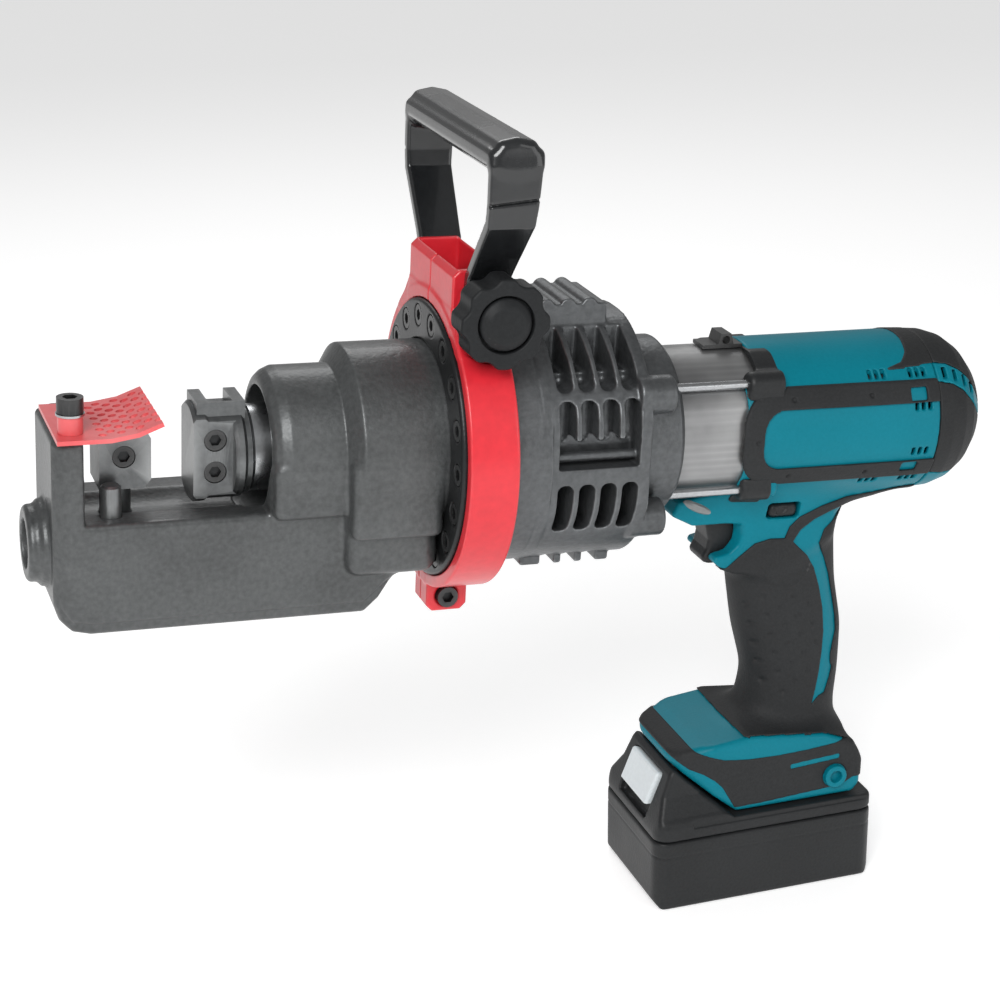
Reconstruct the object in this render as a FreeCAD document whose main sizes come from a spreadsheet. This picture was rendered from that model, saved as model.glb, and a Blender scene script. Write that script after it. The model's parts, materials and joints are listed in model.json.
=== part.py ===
import FreeCAD, Part
import math
import os

from FreeCAD import Placement, Rotation, Vector

# Rebar cutter, battery powered and electro-hydraulic.
# Every sub-part is drawn in the flange frame: X runs rearwards along the ram axis from the front
# face of the clamp ring, Y to the tool's right, Z up.  At the end all are moved along X so that
# the frame's origin is the middle of the rod gap between the two cutter blocks.

SIZES = [
    ("seat_to_clamp", 121.4, "rod seat centre to clamp ring front face"),
    ("yoke_front", 178, "clamp ring front face to yoke front face"),
    ("yoke_width", 64, "yoke width"),
    ("collar_radius", 37, "front step of the cylinder"),
    ("barrel_radius", 46, "rear step of the cylinder"),
    ("ram_radius", 20, "ram rod"),
    ("piston_radius", 34, "piston head"),
    ("running_gap", 0.05, "radial clearance of sliding fits"),
    ("seam_gap", 0.3, "gap between neighbouring castings"),
    ("flange_radius", 64.8, "bolted flange"),
    ("flange_bolts", 18, "bolts in the flange"),
    ("flange_bolt_circle", 57, "radius of the flange bolt circle"),
    ("clamp_radius", 71, "clamp ring outside"),
    ("clamp_width", 23, "clamp ring along the axis"),
    ("handle_span", 130, "handle width over the grip bar"),
    ("handle_height", 73, "handle pivot to grip bar centre"),
    ("pivot_x", 15.3, "handle pivot behind the clamp front face"),
    ("pivot_z", 70.5, "handle pivot above the axis"),
    ("knob_radius", 20.5, "clamp knob outside"),
    ("pump_radius", 60, "pump body front band"),
    ("case_radius", 37, "gear case outside"),
    ("motor_radius", 39.3, "motor housing outside"),
    ("housing_wall", 2.7, "housing wall"),
    ("gear_module", 1, "tooth module of the reduction gear"),
    ("sun_teeth", 12, "sun gear teeth"),
    ("planet_teeth", 21, "planet gear teeth"),
    ("ring_teeth", 54, "ring gear teeth"),
    ("gear_width", 12, "gear face width"),
    ("cam_throw", 3, "eccentric throw"),
    ("battery_length", 121, "battery length"),
    ("battery_width", 75, "battery width"),
    ("battery_pitch", 3.3, "battery slide angle to the ram axis, degrees"),
    ("cell_radius", 9, "battery cell"),
    ("cell_length", 65, "battery cell"),
]

doc = FreeCAD.newDocument("rebar_cutter")
sheet = doc.addObject("Spreadsheet::Sheet", "Sizes")
for row, (alias, value, note) in enumerate(SIZES, start=1):
    sheet.set(f"A{row}", note)
    sheet.set(f"B{row}", str(value))
    sheet.setAlias(f"B{row}", alias)
doc.recompute()
size = {alias: float(sheet.get(alias)) for alias, value, note in SIZES}

ALONG = {
    "x": Rotation(Vector(0, 0, 1), Vector(1, 0, 0)),
    "y": Rotation(Vector(0, 0, 1), Vector(0, 1, 0)),
    "z": Rotation(),
}
sub_parts = []


# ---- drawing helpers -------------------------------------------------------------------------

def bind(item, prop, value):
    """Set a property, or tie it to the sheet when the value is an expression."""
    if isinstance(value, str):
        item.setExpression(prop, value)
    else:
        setattr(item, prop, value)


def rod(name, radius, length, start, axis="x"):
    """Round bar that starts at a point and runs along an axis."""
    item = doc.addObject("Part::Cylinder", name)
    bind(item, "Radius", radius)
    bind(item, "Height", length)
    item.Placement = Placement(Vector(*start), ALONG[axis])
    return item


def block(name, low, high):
    """Box between two corners."""
    item = doc.addObject("Part::Box", name)
    item.Length, item.Width, item.Height = (b - a for a, b in zip(low, high))
    item.Placement = Placement(Vector(*low), Rotation())
    return item


def sketch(body, role, outline, offset=0.0):
    """Closed outline of straight lines on one of the body's own planes."""
    drawing = body.newObject("Sketcher::SketchObject", body.Name + "_outline")
    plane = next(item for item in body.Origin.OriginFeatures if item.Role == role)
    drawing.AttachmentSupport = [(plane, "")]
    drawing.MapMode = "FlatFace"
    drawing.AttachmentOffset = Placement(Vector(0, 0, offset), Rotation())
    for start, end in zip(outline, outline[1:] + outline[:1]):
        drawing.addGeometry(Part.LineSegment(Vector(*start, 0), Vector(*end, 0)), False)
    return drawing


def turned(name, profile):
    """Body turned about the ram axis from an outline of (x, radius) points."""
    body = doc.addObject("PartDesign::Body", name)
    outline = sketch(body, "XZ_Plane", profile)
    turn = body.newObject("PartDesign::Revolution", name + "_turn")
    turn.Profile = outline
    turn.ReferenceAxis = (outline, ["H_Axis"])
    turn.Angle = 360
    outline.Visibility = False
    return body


def slab(name, outline, width, middle=0.0):
    """Side outline of (x, z) points given a width across Y, centred on middle."""
    body = doc.addObject("PartDesign::Body", name)
    drawing = sketch(body, "XZ_Plane", outline, -middle)
    pad = body.newObject("PartDesign::Pad", name + "_pad")
    pad.Profile = drawing
    bind(pad, "Length", width)
    pad.SideType = "Symmetric"
    return body


def across(name, outline, start, length):
    """End outline of (y, z) points run along X."""
    body = doc.addObject("PartDesign::Body", name)
    drawing = sketch(body, "YZ_Plane", outline, start)
    pad = body.newObject("PartDesign::Pad", name + "_pad")
    pad.Profile = drawing
    bind(pad, "Length", length)
    return body


def soften(body, radius, wanted):
    """Round the edges of a body that the test picks."""
    doc.recompute()
    tip = body.Tip
    names = [f"Edge{i}" for i, edge in enumerate(tip.Shape.Edges, start=1) if wanted(edge)]
    fillet = body.newObject("PartDesign::Fillet", body.Name + "_soft")
    fillet.Base = (tip, names)
    fillet.Radius = radius
    return body


def join(name, items):
    item = doc.addObject("Part::MultiFuse", name)
    item.Shapes = items
    return item


def group(name, items):
    """Separate solids that share one node."""
    item = doc.addObject("Part::Compound", name)
    item.Links = items
    return item


def cut(name, base, tools):
    item = doc.addObject("Part::Cut", name)
    item.Base = base
    item.Tool = tools[0] if len(tools) == 1 else join(name + "_tools", tools)
    return item


def common(name, one, two):
    item = doc.addObject("Part::Common", name)
    item.Base = one
    item.Tool = two
    return item


def free_shape(name, shape):
    item = doc.addObject("Part::Feature", name)
    item.Shape = shape
    return item


def sub_part(label, item):
    item.Label = label
    sub_parts.append(item)
    return item


def on_circle(radius, degrees):
    """Point (y, z) on a circle about the ram axis, from the left side upwards."""
    angle = math.radians(degrees)
    return -radius * math.cos(angle), radius * math.sin(angle)


def hexagon(name, across_flats, low, length, axis="x"):
    item = doc.addObject("Part::Prism", name)
    item.Polygon = 6
    item.Circumradius = across_flats / math.sqrt(3)
    item.Height = length
    item.Placement = Placement(Vector(*low), ALONG[axis])
    return item


def socket_screw(name, head, shank, seat, direction, axis="x"):
    """Socket head cap screw: head and shank are (radius, length), seat is under the head."""
    forward = -direction
    head_start = list(seat)
    shank_start = list(seat)
    place = "xyz".index(axis)
    if forward < 0:
        head_start[place] -= head[1]
    else:
        shank_start[place] -= shank[1]
    top = rod(name + "_head", head[0], head[1], head_start, axis)
    stem = rod(name + "_stem", shank[0], shank[1], shank_start, axis)
    socket_start = list(seat)
    depth = head[1] * 0.55
    socket_start[place] += -head[1] if forward < 0 else head[1] - depth
    socket = hexagon(name + "_socket", head[0], socket_start, depth, axis)
    return cut(name, join(name + "_solid", [top, stem]), [socket])


# ---- cutting head ----------------------------------------------------------------------------

def make_yoke():
    """Cast head: post, pocket with a round trough, rib, and the two-step cylinder."""
    front = -size["yoke_front"]
    side = [
        (front, -58), (front + 3, -67), (front + 8.5, -72.5), (front + 16, -74.5),
        (-35, -74.5), (-28, -68), (-23, -60), (-16, -54), (-2.3, -54), (-2.3, -5), (-80, -5),
        (-80, -22), (front + 15, -22), (front + 15, 17), (front, 17),
    ]
    frame = slab("yoke_frame", side, "Sizes.yoke_width")
    soften(frame, 8, lambda e: is_along(e, "z") and near(e, front, "x"))
    soften(frame, 6, lambda e: near_height(e, -74.5) and is_along(e, "x"))
    chest = slab("yoke_chest", [(-44, -54), (-2.3, -54), (-2.3, 0), (-44, 0)], 80)
    soften(chest, 9, lambda e: is_along(e, "x") and near_height(e, -54))
    steps = turned("yoke_steps", [
        (-80, 0), (-80, 30), (-78.5, 33), (-76, 35.3), (-72, 37),
        (-47, 37), (-44, 46), (21, 46), (21, 0),
    ])
    plug_boss = rod("yoke_boss", 17.6, 10, (front - 8, 0, -39))
    solid = join("yoke_solid", [frame, chest, steps, plug_boss])
    bore = turned("yoke_bore", [
        (-81, 0), (-81, 28.5), (-69, 28.5), (-69, size["ram_radius"] + size["running_gap"]),
        (-62, size["ram_radius"] + size["running_gap"]), (-62, 28), (-33, 28),
        (-33, size["piston_radius"] + size["running_gap"]),
        (22, size["piston_radius"] + size["running_gap"]), (22, 0),
    ])
    trough = rod("yoke_trough", 26.5, size["yoke_front"] - 95, (front + 15.2, 0, 0))
    upper = block("yoke_upper", (front + 15, -33, -5), (-80, 33, 30))
    plug_bore = rod("yoke_plug_bore", 11.4, 30, (front - 9, 0, -39))
    bolt_bore = rod("yoke_bolt_bore", 4.1, 24, (-168, -23, -6), "z")
    post_bore = rod("yoke_post_bore", 4.7, 22, (-150, -18.5, -33.3), "z")
    foot_bore = rod("yoke_foot_bore", 7.1, 10, (-145, 0, -30.2), "z")
    tools = [bore, trough, upper, plug_bore, bolt_bore, post_bore, foot_bore]
    return sub_part("cutter_yoke", cut("yoke", solid, tools))


def is_along(edge, axis):
    ends = [v.Point for v in edge.Vertexes]
    if len(ends) != 2:
        return False
    run = ends[1].sub(ends[0])
    total = run.Length
    return total > 1e-6 and abs(abs(getattr(run, axis)) - total) < 1e-3 * total


def near(edge, value, axis):
    return all(abs(getattr(v.Point, axis) - value) < 0.01 for v in edge.Vertexes)


def near_height(edge, value):
    return near(edge, value, "z")


def make_plug():
    """Socket plug in the front boss."""
    front = -size["yoke_front"]
    body = rod("plug_body", 11.3, 18, (front - 4, 0, -39))
    socket = hexagon("plug_socket", 12, (front - 5, 0, -39), 9)
    return sub_part("front_plug", cut("plug", body, [socket]))


def make_fixed_cutter():
    """Fixed cutter block on its foot, and its screw."""
    outline = [(-154, -12), (-134, -12), (-130.8, -8), (-130.8, 11), (-134, 15.5), (-154, 15.5)]
    block_body = slab("fixed_block", outline, 25)
    foot = rod("fixed_foot", 7, 19, (-145, 0, -30), "z")
    hole = rod("fixed_hole", 3.2, 20, (-143, -13.5, 3), "y")
    counter = rod("fixed_counter", 5.2, 4.4, (-143, -13, 3), "y")
    cutter = cut("fixed_cutter_solid", join("fixed_cutter_whole", [block_body, foot]), [hole, counter])
    screw = socket_screw("fixed_screw", (4.9, 3.2), (3.1, 12), (-143, -8.8, 3), 1, "y")
    sub_part("fixed_cutter", cutter)
    sub_part("fixed_cutter_screw", screw)


def make_post():
    """Short round locating post pressed into the trough floor beside the fixed cutter."""
    post = turned_post("post", [(0, 0), (4.6, 0), (4.6, 24.7), (3.6, 25.7), (0, 25.7)])
    post.Placement = Placement(Vector(-150, -18.5, -33), Rotation())
    return sub_part("cutter_post", post)


def turned_post(name, profile):
    """Body turned about the vertical axis from an outline of (radius, z) points."""
    body = doc.addObject("PartDesign::Body", name)
    outline = sketch(body, "XZ_Plane", profile)
    turn = body.newObject("PartDesign::Revolution", name + "_turn")
    turn.Profile = outline
    turn.ReferenceAxis = (outline, ["V_Axis"])
    turn.Angle = 360
    return body


def make_moving_cutter():
    """Cutter block on the ram's end: narrow body, round collar and a forked top, with two screws."""
    nose = turned("moving_nose", [
        (-112, 0), (-112, 21.7), (-110.7, 23), (-106.4, 23), (-105, 22), (-92, 22), (-92, 0),
    ])
    waist = block("moving_waist", (-113, -13.5, -30), (-91, 13.5, 30))
    collar = turned("moving_collar", [
        (-94, 0), (-94, 21), (-92.5, 22), (-90, 22), (-88.5, 20.5), (-86.3, 20.5), (-86.3, 0),
    ])
    horn = block("moving_horn", (-110, -11, 10), (-88, 11, 25.5))
    solid = join("moving_solid", [common("moving_body", nose, waist), collar, horn])
    tools = [block("moving_slot", (-104.5, -9, 20.5), (-93.5, 12, 27))]
    screws = []
    for index, z in enumerate((8.4, -6.6)):
        tools.append(rod(f"moving_counter_{index}", 5.2, 6.5, (-102, -15.5, z), "y"))
        tools.append(rod(f"moving_hole_{index}", 3.2, 14, (-102, -10, z), "y"))
        screws.append(socket_screw(f"moving_screw_{index}", (4.9, 3.6), (3, 12), (-102, -9.2, z), 1, "y"))
    sub_part("moving_cutter", cut("moving", solid, tools))
    sub_part("moving_cutter_screws", group("moving_screws", screws))


def make_ram():
    """Ram rod with its piston head, the head's seal, and the return spring."""
    ram = size["ram_radius"]
    piston = size["piston_radius"]
    body = turned("ram_body", [
        (-86, 0), (-86, ram - 1), (-85, ram), (-12, ram), (-12, piston), (-5, piston), (-5, 31),
        (-1, 31), (-1, piston), (6, piston), (6, 0),
    ])
    sub_part("ram", body)
    seal = turned("seal", [(-4.8, 31.1), (-4.8, piston), (-1.2, piston), (-1.2, 31.1)])
    sub_part("ram_seal", seal)
    sub_part("return_spring", coil("ram_spring", -61.8, -12.3, 24.2, 1.9, 5.5))


def coil(name, start, end, radius, wire, turns):
    """Round-wire coil spring along X."""
    length = end - start - 2 * wire
    helix = Part.makeHelix(length / turns, length, radius)
    section = Part.Wire(Part.makeCircle(wire, Vector(radius, 0, 0), Vector(0, 1, 0)))
    spring = Part.Wire(helix).makePipeShell([section], True, True)
    item = free_shape(name, spring)
    item.Placement = Placement(Vector(start + wire, 0, 0), ALONG["x"])
    return item


def make_guard():
    """Perforated rod guard held on the post by a bolt through a collar."""
    bend = [(-175.5, 17.3), (-152, 17.3), (-140, 19.2), (-129, 23.5), (-129.7, 25.4),
            (-140.5, 21.2), (-152.2, 19.3), (-175.5, 19.3)]
    sheet_body = slab("guard_sheet", bend, 55, -7.5)
    holes = [rod("guard_bolt_hole", 4.1, 6, (-168, -23, 15), "z")]
    for column in range(7):
        for line in range(6):
            x = -155 + column * 4.1
            y = -29 + line * 8.0 + (4.0 if column % 2 else 0.0)
            if y < 17:
                holes.append(rod(f"guard_hole_{column}_{line}", 1.9, 14, (x, y, 14), "z"))
    sub_part("rod_guard", cut("guard", sheet_body, holes))
    collar = cut("collar", rod("collar_out", 5.6, 8, (-168, -23, 19.4), "z"),
                 [rod("collar_in", 4.05, 10, (-168, -23, 18.4), "z")])
    sub_part("guard_collar", collar)
    washer = cut("washer", rod("washer_out", 6.4, 1, (-168, -23, 27.5), "z"),
                 [rod("washer_in", 4.1, 3, (-168, -23, 26.5), "z")])
    sub_part("guard_washer", washer)
    bolt = socket_screw("guard_screw", (5.9, 7), (4, 34), (-168, -23, 28.6), -1, "z")
    sub_part("guard_bolt", bolt)


def flange_angles():
    count = int(size["flange_bolts"])
    return [360.0 * i / count for i in range(count)]


def make_flange():
    """Bolted flange round the cylinder, with its ring of cap screws."""
    ring = turned("flange_ring", [
        (-2, size["barrel_radius"] + size["seam_gap"]), (-2, size["flange_radius"] - 1.5),
        (-0.5, size["flange_radius"]), (21.5, size["flange_radius"]),
        (21.5, size["barrel_radius"] + size["seam_gap"]),
    ])
    holes = []
    bolts = []
    for index, degrees in enumerate(flange_angles()):
        y, z = on_circle(size["flange_bolt_circle"], degrees)
        holes.append(rod(f"flange_hole_{index}", 3.3, 30, (-5, y, z)))
        holes.append(rod(f"flange_counter_{index}", 5.2, 8.3, (-5, y, z)))
        bolts.append(socket_screw(f"flange_bolt_{index}", (4.8, 5), (3, 30), (3.2, y, z), 1))
    sub_part("head_flange", cut("flange", ring, holes))
    sub_part("flange_bolts", group("flange_screws", bolts))


def make_clamp():
    """Split clamp ring: two halves with the handle block above and a bolted tab below."""
    width = "Sizes.clamp_width"
    inside = size["flange_radius"] + size["seam_gap"]
    outer = rod("clamp_outer", "Sizes.clamp_radius", width, (0, 0, 0))
    top = slab("clamp_top", [(0.5, 50), (22.5, 50), (22.5, 61.5), (26, 63), (26, 84), (23, 87.5),
                             (3.5, 87.5), (0.5, 84.5)], 66)
    tab = slab("clamp_tab", [(1, -55), (21, -55), (21, -82), (18, -85), (4, -85), (1, -82)], 19)
    solid = join("clamp_solid", [outer, top, tab])
    bore = rod("clamp_bore", inside, 40, (-5, 0, 0))
    pivot = rod("clamp_pivot", 5.2, 80, (size["pivot_x"], -40, size["pivot_z"]), "y")
    pinch = rod("clamp_pinch", 3.2, 30, (11, -15, -77.5), "y")
    recess = rod("clamp_recess", 5.6, 5.5, (11, -12, -77.5), "y")
    hollow = block("clamp_hollow", (3.5, -29.5, 66), (23, 29.5, 95))
    arm_room = [rod(f"clamp_arm_room_{y}", 13.4, 15.4, (size["pivot_x"], y, size["pivot_z"]), "y")
                for y in (-48.4, 33)]
    scoop = rod("clamp_scoop", 21.2, 20, (size["pivot_x"], -67, size["pivot_z"]), "y")
    whole = cut("clamp_whole", solid, [bore, pivot, pinch, recess, hollow, scoop] + arm_room)
    left = common("clamp_left", whole, block("clamp_left_box", (-1, -80, -90), (30, -0.4, 95)))
    right = common("clamp_right", whole, block("clamp_right_box", (-1, 0.4, -90), (30, 80, 95)))
    sub_part("clamp_half_left", left)
    sub_part("clamp_half_right", right)
    bolt = socket_screw("pinch_screw", (5, 5), (3, 15), (11, -6.8, -77.5), 1, "y")
    sub_part("clamp_bolt", bolt)


def make_handle():
    """D-handle: two strap arms that narrow to the block, joined by a round grip bar."""
    x, z = size["pivot_x"], size["pivot_z"]
    top = z + size["handle_height"]
    half = size["handle_span"] / 2
    outer = [(-39.3, z - 12), (-39.3, z + 14), (-half + 1, z + 44), (-half, z + 52), (-half, top),
             (-half + 7, top + 9), (half - 7, top + 9), (half, top), (half, z + 52),
             (half - 1, z + 44), (39.3, z + 14), (39.3, z - 12), (33.5, z - 12),
             (33.5, z + 16), (half - 7, z + 46), (half - 6.5, z + 53), (half - 6.5, top - 9),
             (-half + 6.5, top - 9), (-half + 6.5, z + 53), (-half + 7, z + 46),
             (-33.5, z + 16), (-33.5, z - 12)]
    strap = across("handle_strap", outer, x - 11, 25)
    side = slab("handle_side", [
        (x - 11, z - 3), (x - 8, z - 9), (x, z - 12), (x + 8, z - 9), (x + 11, z - 3),
        (x + 14, top), (x + 10, top + 7), (x + 2, top + 9), (x - 6, top + 7), (x - 10, top),
    ], 140)
    holes = [rod("handle_pivot_hole", 5.2, 120, (x, -60, z), "y")]
    handle = cut("handle", common("handle_trim", strap, side), holes)
    sub_part("carry_handle", handle)


def make_knob():
    """Pivot bolt through the block, with the lobed clamp knob and its cap on the left."""
    x, z = size["pivot_x"], size["pivot_z"]
    shaft = rod("pivot_shaft", 5.1, 103, (x, -58, z), "y")
    head = rod("pivot_head", 10, 6, (x, 39.6, z), "y")
    sub_part("handle_bolt", join("pivot_bolt", [shaft, head]))
    disc = rod("knob_disc", "Sizes.knob_radius", 17, (x, -65, z), "y")
    hub = rod("knob_hub", 13, 8.6, (x, -48.3, z), "y")
    tools = [rod("knob_bore", 5.2, 24, (x, -59, z), "y")]
    for index in range(8):
        angle = math.radians(22.5 + 45 * index)
        dx = 25.5 * math.cos(angle)
        dz = 25.5 * math.sin(angle)
        tools.append(rod(f"knob_scallop_{index}", 7.2, 20, (x + dx, -66, z + dz), "y"))
    sub_part("handle_knob", cut("knob", join("knob_solid", [disc, hub]), tools))
    cap = turned("knob_dome", [(0, 0), (0, 11.5), (3, 11.2), (6, 8.6), (7.6, 4.5), (8, 0)])
    cap.Placement = Placement(Vector(x, -65.2, z), Rotation(Vector(1, 0, 0), Vector(0, -1, 0)))
    sub_part("knob_cap", cap)


BOSS_PLACES = [(-46, 29), (-42, -32), (46, 29), (42, -32)]
TIE_ROD_ANGLES = (41, 139, 221, 319)


# ---- pump ------------------------------------------------------------------------------------

def make_pump():
    """Finned pump casting with plates above and below and two screw bosses on each side."""
    shell = turned("pump_shell", [
        (23, 0), (23, 58.5), (24.5, 60), (37, 60), (37, 58.6), (39, 58.6), (39, 60), (92, 60),
        (92, 0),
    ])
    sides = block("pump_sides", (22, -57, -56), (93, 57, 60))
    trimmed = common("pump_trimmed", shell, sides)
    front = turned("pump_front", [(23, 0), (23, 58.5), (24.5, 60), (42.6, 60), (42.6, 0)])
    top = block("pump_top", (42, -20, 50), (80, 20, 66.4))
    bumps = [rod(f"pump_bump_{i}", 4, 40, (50.5 + 10.5 * i, -20, 65), "y") for i in range(3)]
    bottom = block("pump_bottom", (42, -24, -59.5), (86.5, 24, -50))
    bosses = []
    for index, (y, z) in enumerate(BOSS_PLACES):
        bosses.append(rod(f"pump_boss_{index}", 9, 18, (86, y, z)))
    solid = join("pump_solid", [trimmed, front, top, bottom] + bumps + bosses)
    tools = [turned("pump_cavity", [
        (27, 0), (27, 38), (39, 38), (39, 18), (54, 18), (54, 22), (93, 22), (93, 0),
    ])]
    for side in (-1, 1):
        for index in range(4):
            x = 46.7 + 10.5 * index
            tools.append(fin_slot(f"pump_slot_a_{side}_{index}", x, side, 33, 64, 36))
            tools.append(fin_slot(f"pump_slot_b_{side}_{index}", x, side, 8, 29.5, 44))
            tools.append(fin_slot(f"pump_slot_c_{side}_{index}", x, side, -33, -9, 36))
            tools.append(side_block(f"pump_gap_{side}_{index}", (x, 38), (x + 7.6, 66), side, 21))
        tools.append(side_block(f"pump_window_{side}", (46.7, -1.5), (85.8, 12.3), side, 46))
    for index in range(3):
        slot = block(f"pump_under_{index}", (-3.5, -30, -70), (3.5, 30, -52.5))
        slot.Placement = Placement(Vector(55.5 + 10.5 * index, 0, 0), Rotation()).multiply(slot.Placement)
        tools.append(slot)
    for index, degrees in enumerate(flange_angles()):
        y, z = on_circle(size["flange_bolt_circle"], degrees)
        tools.append(rod(f"pump_thread_{index}", 3.3, 12, (22, y, z)))
    for index, (y, z) in enumerate(BOSS_PLACES):
        tools.append(rod(f"pump_boss_hole_{index}", 3.3, 20, (86.5, y, z)))
        tools.append(rod(f"pump_boss_counter_{index}", 5.8, 8, (98.2, y, z)))
    tools.append(rod("plunger_bore", 6.05, 34, (71, 0, 18), "z"))
    return sub_part("pump_body", cut("pump", solid, tools))


def fin_slot(name, x, side, low, high, depth):
    """Cooling slot with round ends, cut inwards from one side."""
    across_low = -64 if side < 0 else depth
    length = 64 - depth
    slot = block(name + "_mid", (x, across_low, low + 3.8), (x + 7.6, across_low + length, high - 3.8))
    ends = [rod(f"{name}_end_{i}", 3.8, length, (x + 3.8, across_low, z), "y")
            for i, z in enumerate((low + 3.8, high - 3.8))]
    return join(name, [slot] + ends)


def side_block(name, low, high, side, depth):
    """Box-shaped recess cut inwards from one side; corners are (x, z)."""
    ys = (-64, -depth) if side < 0 else (depth, 64)
    return block(name, (low[0], ys[0], low[1]), (high[0], ys[1], high[1]))


def make_pump_parts():
    """Screws, shaft with cam, plunger, bearings and oil bladder inside the pump."""
    screws = []
    for index, (y, z) in enumerate(BOSS_PLACES):
        screws.append(socket_screw(f"pump_screw_{index}", (5.4, 5), (3, 11.5), (98.5, y, z), -1))
    sub_part("pump_screws", group("pump_screw_group", screws))
    throw = size["cam_throw"]
    shaft = turned("cam_shaft_body", [(44, 0), (44, 8), (104, 8), (104, 9), (121.4, 9), (121.4, 0)])
    cam = rod("cam_disc", 12, 12, (65, 0, -throw))
    sub_part("eccentric_shaft", join("cam_shaft", [shaft, cam]))
    sub_part("pump_plunger", rod("plunger", 6, 20, (71, 0, 15.5), "z"))
    inner = 8.05
    rings = []
    for index, (low, high) in enumerate(((44.5, 53.5), (94, 103))):
        profile = [(low, inner), (low, 17.7), (high, 17.7), (high, inner)]
        rings.append(turned(f"bearing_ring_{index}", profile))
    sub_part("shaft_bearings", group("bearings", rings))
    sub_part("oil_bladder", turned("bladder", [(28, 12), (28, 37.5), (37, 37.5), (37, 30),
                                               (34, 27), (31, 27), (31, 12)]))


def make_bearing_housing():
    """Round rear flange of the pump that carries the rear bearing."""
    body = turned("rear_flange", [
        (92.4, 18), (92.4, 43), (112.6, 43), (115, 40.6), (115, 9.4), (106, 9.4), (106, 18),
    ])
    tools = []
    for index, degrees in enumerate(TIE_ROD_ANGLES):
        y, z = on_circle(40.2, degrees)
        tools.append(rod(f"rear_flange_rod_{index}", 2.3, 12, (108, y, z)))
    return sub_part("bearing_housing", cut("rear_flange_cut", body, tools))


# ---- reduction gear --------------------------------------------------------------------------

def tooth_ring(count, inner, outer, inner_share, outer_share, phase):
    """Closed outline of straight-sided teeth; shares are land widths as part of the pitch."""
    points = []
    pitch = 2 * math.pi / count
    for index in range(int(count)):
        middle = phase + index * pitch
        for share, radius in ((-outer_share, inner), (-inner_share, outer),
                              (inner_share, outer), (outer_share, inner)):
            angle = middle + share * pitch / 2
            points.append((radius * math.cos(angle), radius * math.sin(angle)))
    return points


def gear(name, count, bore, place, phase):
    """Spur gear along X; place is its (y, z) centre."""
    module = size["gear_module"]
    pitch_radius = count * module / 2
    outline = tooth_ring(count, pitch_radius - 1.2 * module, pitch_radius + 0.85 * module,
                         0.28, 0.66, phase)
    blank = across(name + "_teeth", outline, 130, "Sizes.gear_width")
    hole = rod(name + "_bore", bore, 20, (125, 0, 0))
    wheel = cut(name, blank, [hole])
    wheel.Placement = Placement(Vector(0, place[0], place[1]), Rotation())
    return wheel


def make_gears():
    """Planetary reduction: sun on the motor shaft, three planets, fixed ring, carrier."""
    module = size["gear_module"]
    sun, planet, ring = size["sun_teeth"], size["planet_teeth"], size["ring_teeth"]
    arm = (sun + planet) * module / 2
    sub_part("sun_gear", gear("sun", sun, 2.9, (0, 0), 0))
    pins = []
    for index in range(3):
        angle = math.radians(120 * index)
        place = (arm * math.cos(angle), arm * math.sin(angle))
        sub_part(f"planet_gear_{index + 1}", gear(f"planet_{index}", planet, 3.06, place, angle))
        pins.append(rod(f"planet_pin_{index}", 3, 16, (126.5, place[0], place[1])))
    plate = rod("carrier_plate", 26, 5, (122, 0, 0))
    sub_part("planet_carrier", join("carrier", [plate] + pins))
    inner = ring * module / 2
    space = tooth_ring(ring, inner - 0.85 * module, inner + 1.2 * module, 0.36, 0.74, 0)
    cutter = across("ring_space", space, 120, 40)
    blank = rod("ring_blank", 34, 13, (129.5, 0, 0))
    sub_part("ring_gear", cut("ring", blank, [cutter]))


def make_gear_case():
    """Turned gear case between the pump and the motor housing."""
    radius = size["case_radius"]
    case = turned("case_body", [
        (115.3, 9.4), (115.3, radius - 1), (116.3, radius), (165, radius), (165, 34.3),
        (143, 34.3), (143, 34.05), (121.7, 34.05), (121.7, 28), (121.6, 9.4),
    ])
    sub_part("gear_case", case)
    rods = []
    for index, degrees in enumerate(TIE_ROD_ANGLES):
        y, z = on_circle(40.2, degrees)
        rods.append(rod(f"tie_rod_{index}", 2.2, 49, (110, y, z)))
    sub_part("tie_rods", group("tie_rod_group", rods))
    lug = slab("lug_body", [(136, 37.3), (156.6, 37.3), (156.6, 39.2), (152, 39.2), (150.6, 44.4),
                            (145.4, 44.4), (144, 39.2), (136, 39.2)], 12)
    eye = rod("lug_eye", 2, 20, (148, -10, 41.4), "y")
    sub_part("lug_plate", cut("lug", lug, [eye]))


# ---- motor and housing -----------------------------------------------------------------------

def make_motor():
    """Motor can, rotor with its shaft, and the cooling fan."""
    can = turned("can_body", [
        (168, 4.1), (168, 30), (170, 36), (228, 36), (228, 14), (226, 14), (226, 27),
        (172, 27), (172, 4.1),
    ])
    sub_part("motor_can", can)
    rotor = turned("rotor_body", [
        (129, 0), (129, 2.8), (144, 2.8), (144, 4), (178, 4), (178, 24), (222, 24), (222, 8),
        (236, 8), (236, 4), (246, 4), (246, 0),
    ])
    sub_part("rotor", rotor)
    hub = cut("fan_hub", rod("fan_hub_out", 9, 8, (237, 0, 0)), [rod("fan_hub_in", 4.1, 10, (236, 0, 0))])
    disc = cut("fan_disc", rod("fan_disc_out", 31, 1.5, (237, 0, 0)),
               [rod("fan_disc_in", 4.1, 4, (236, 0, 0))])
    blades = []
    for index in range(9):
        blade = block(f"fan_blade_{index}", (238, 10, -0.8), (245, 30, 0.8))
        blade.Placement = Placement(Vector(238, 0, 0), Rotation(Vector(1, 0, 0), 40 * index)).multiply(
            Placement(Vector(0, 8.5, -0.8), Rotation()))
        blades.append(blade)
    sub_part("fan", join("fan_solid", [hub, disc] + blades))


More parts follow.
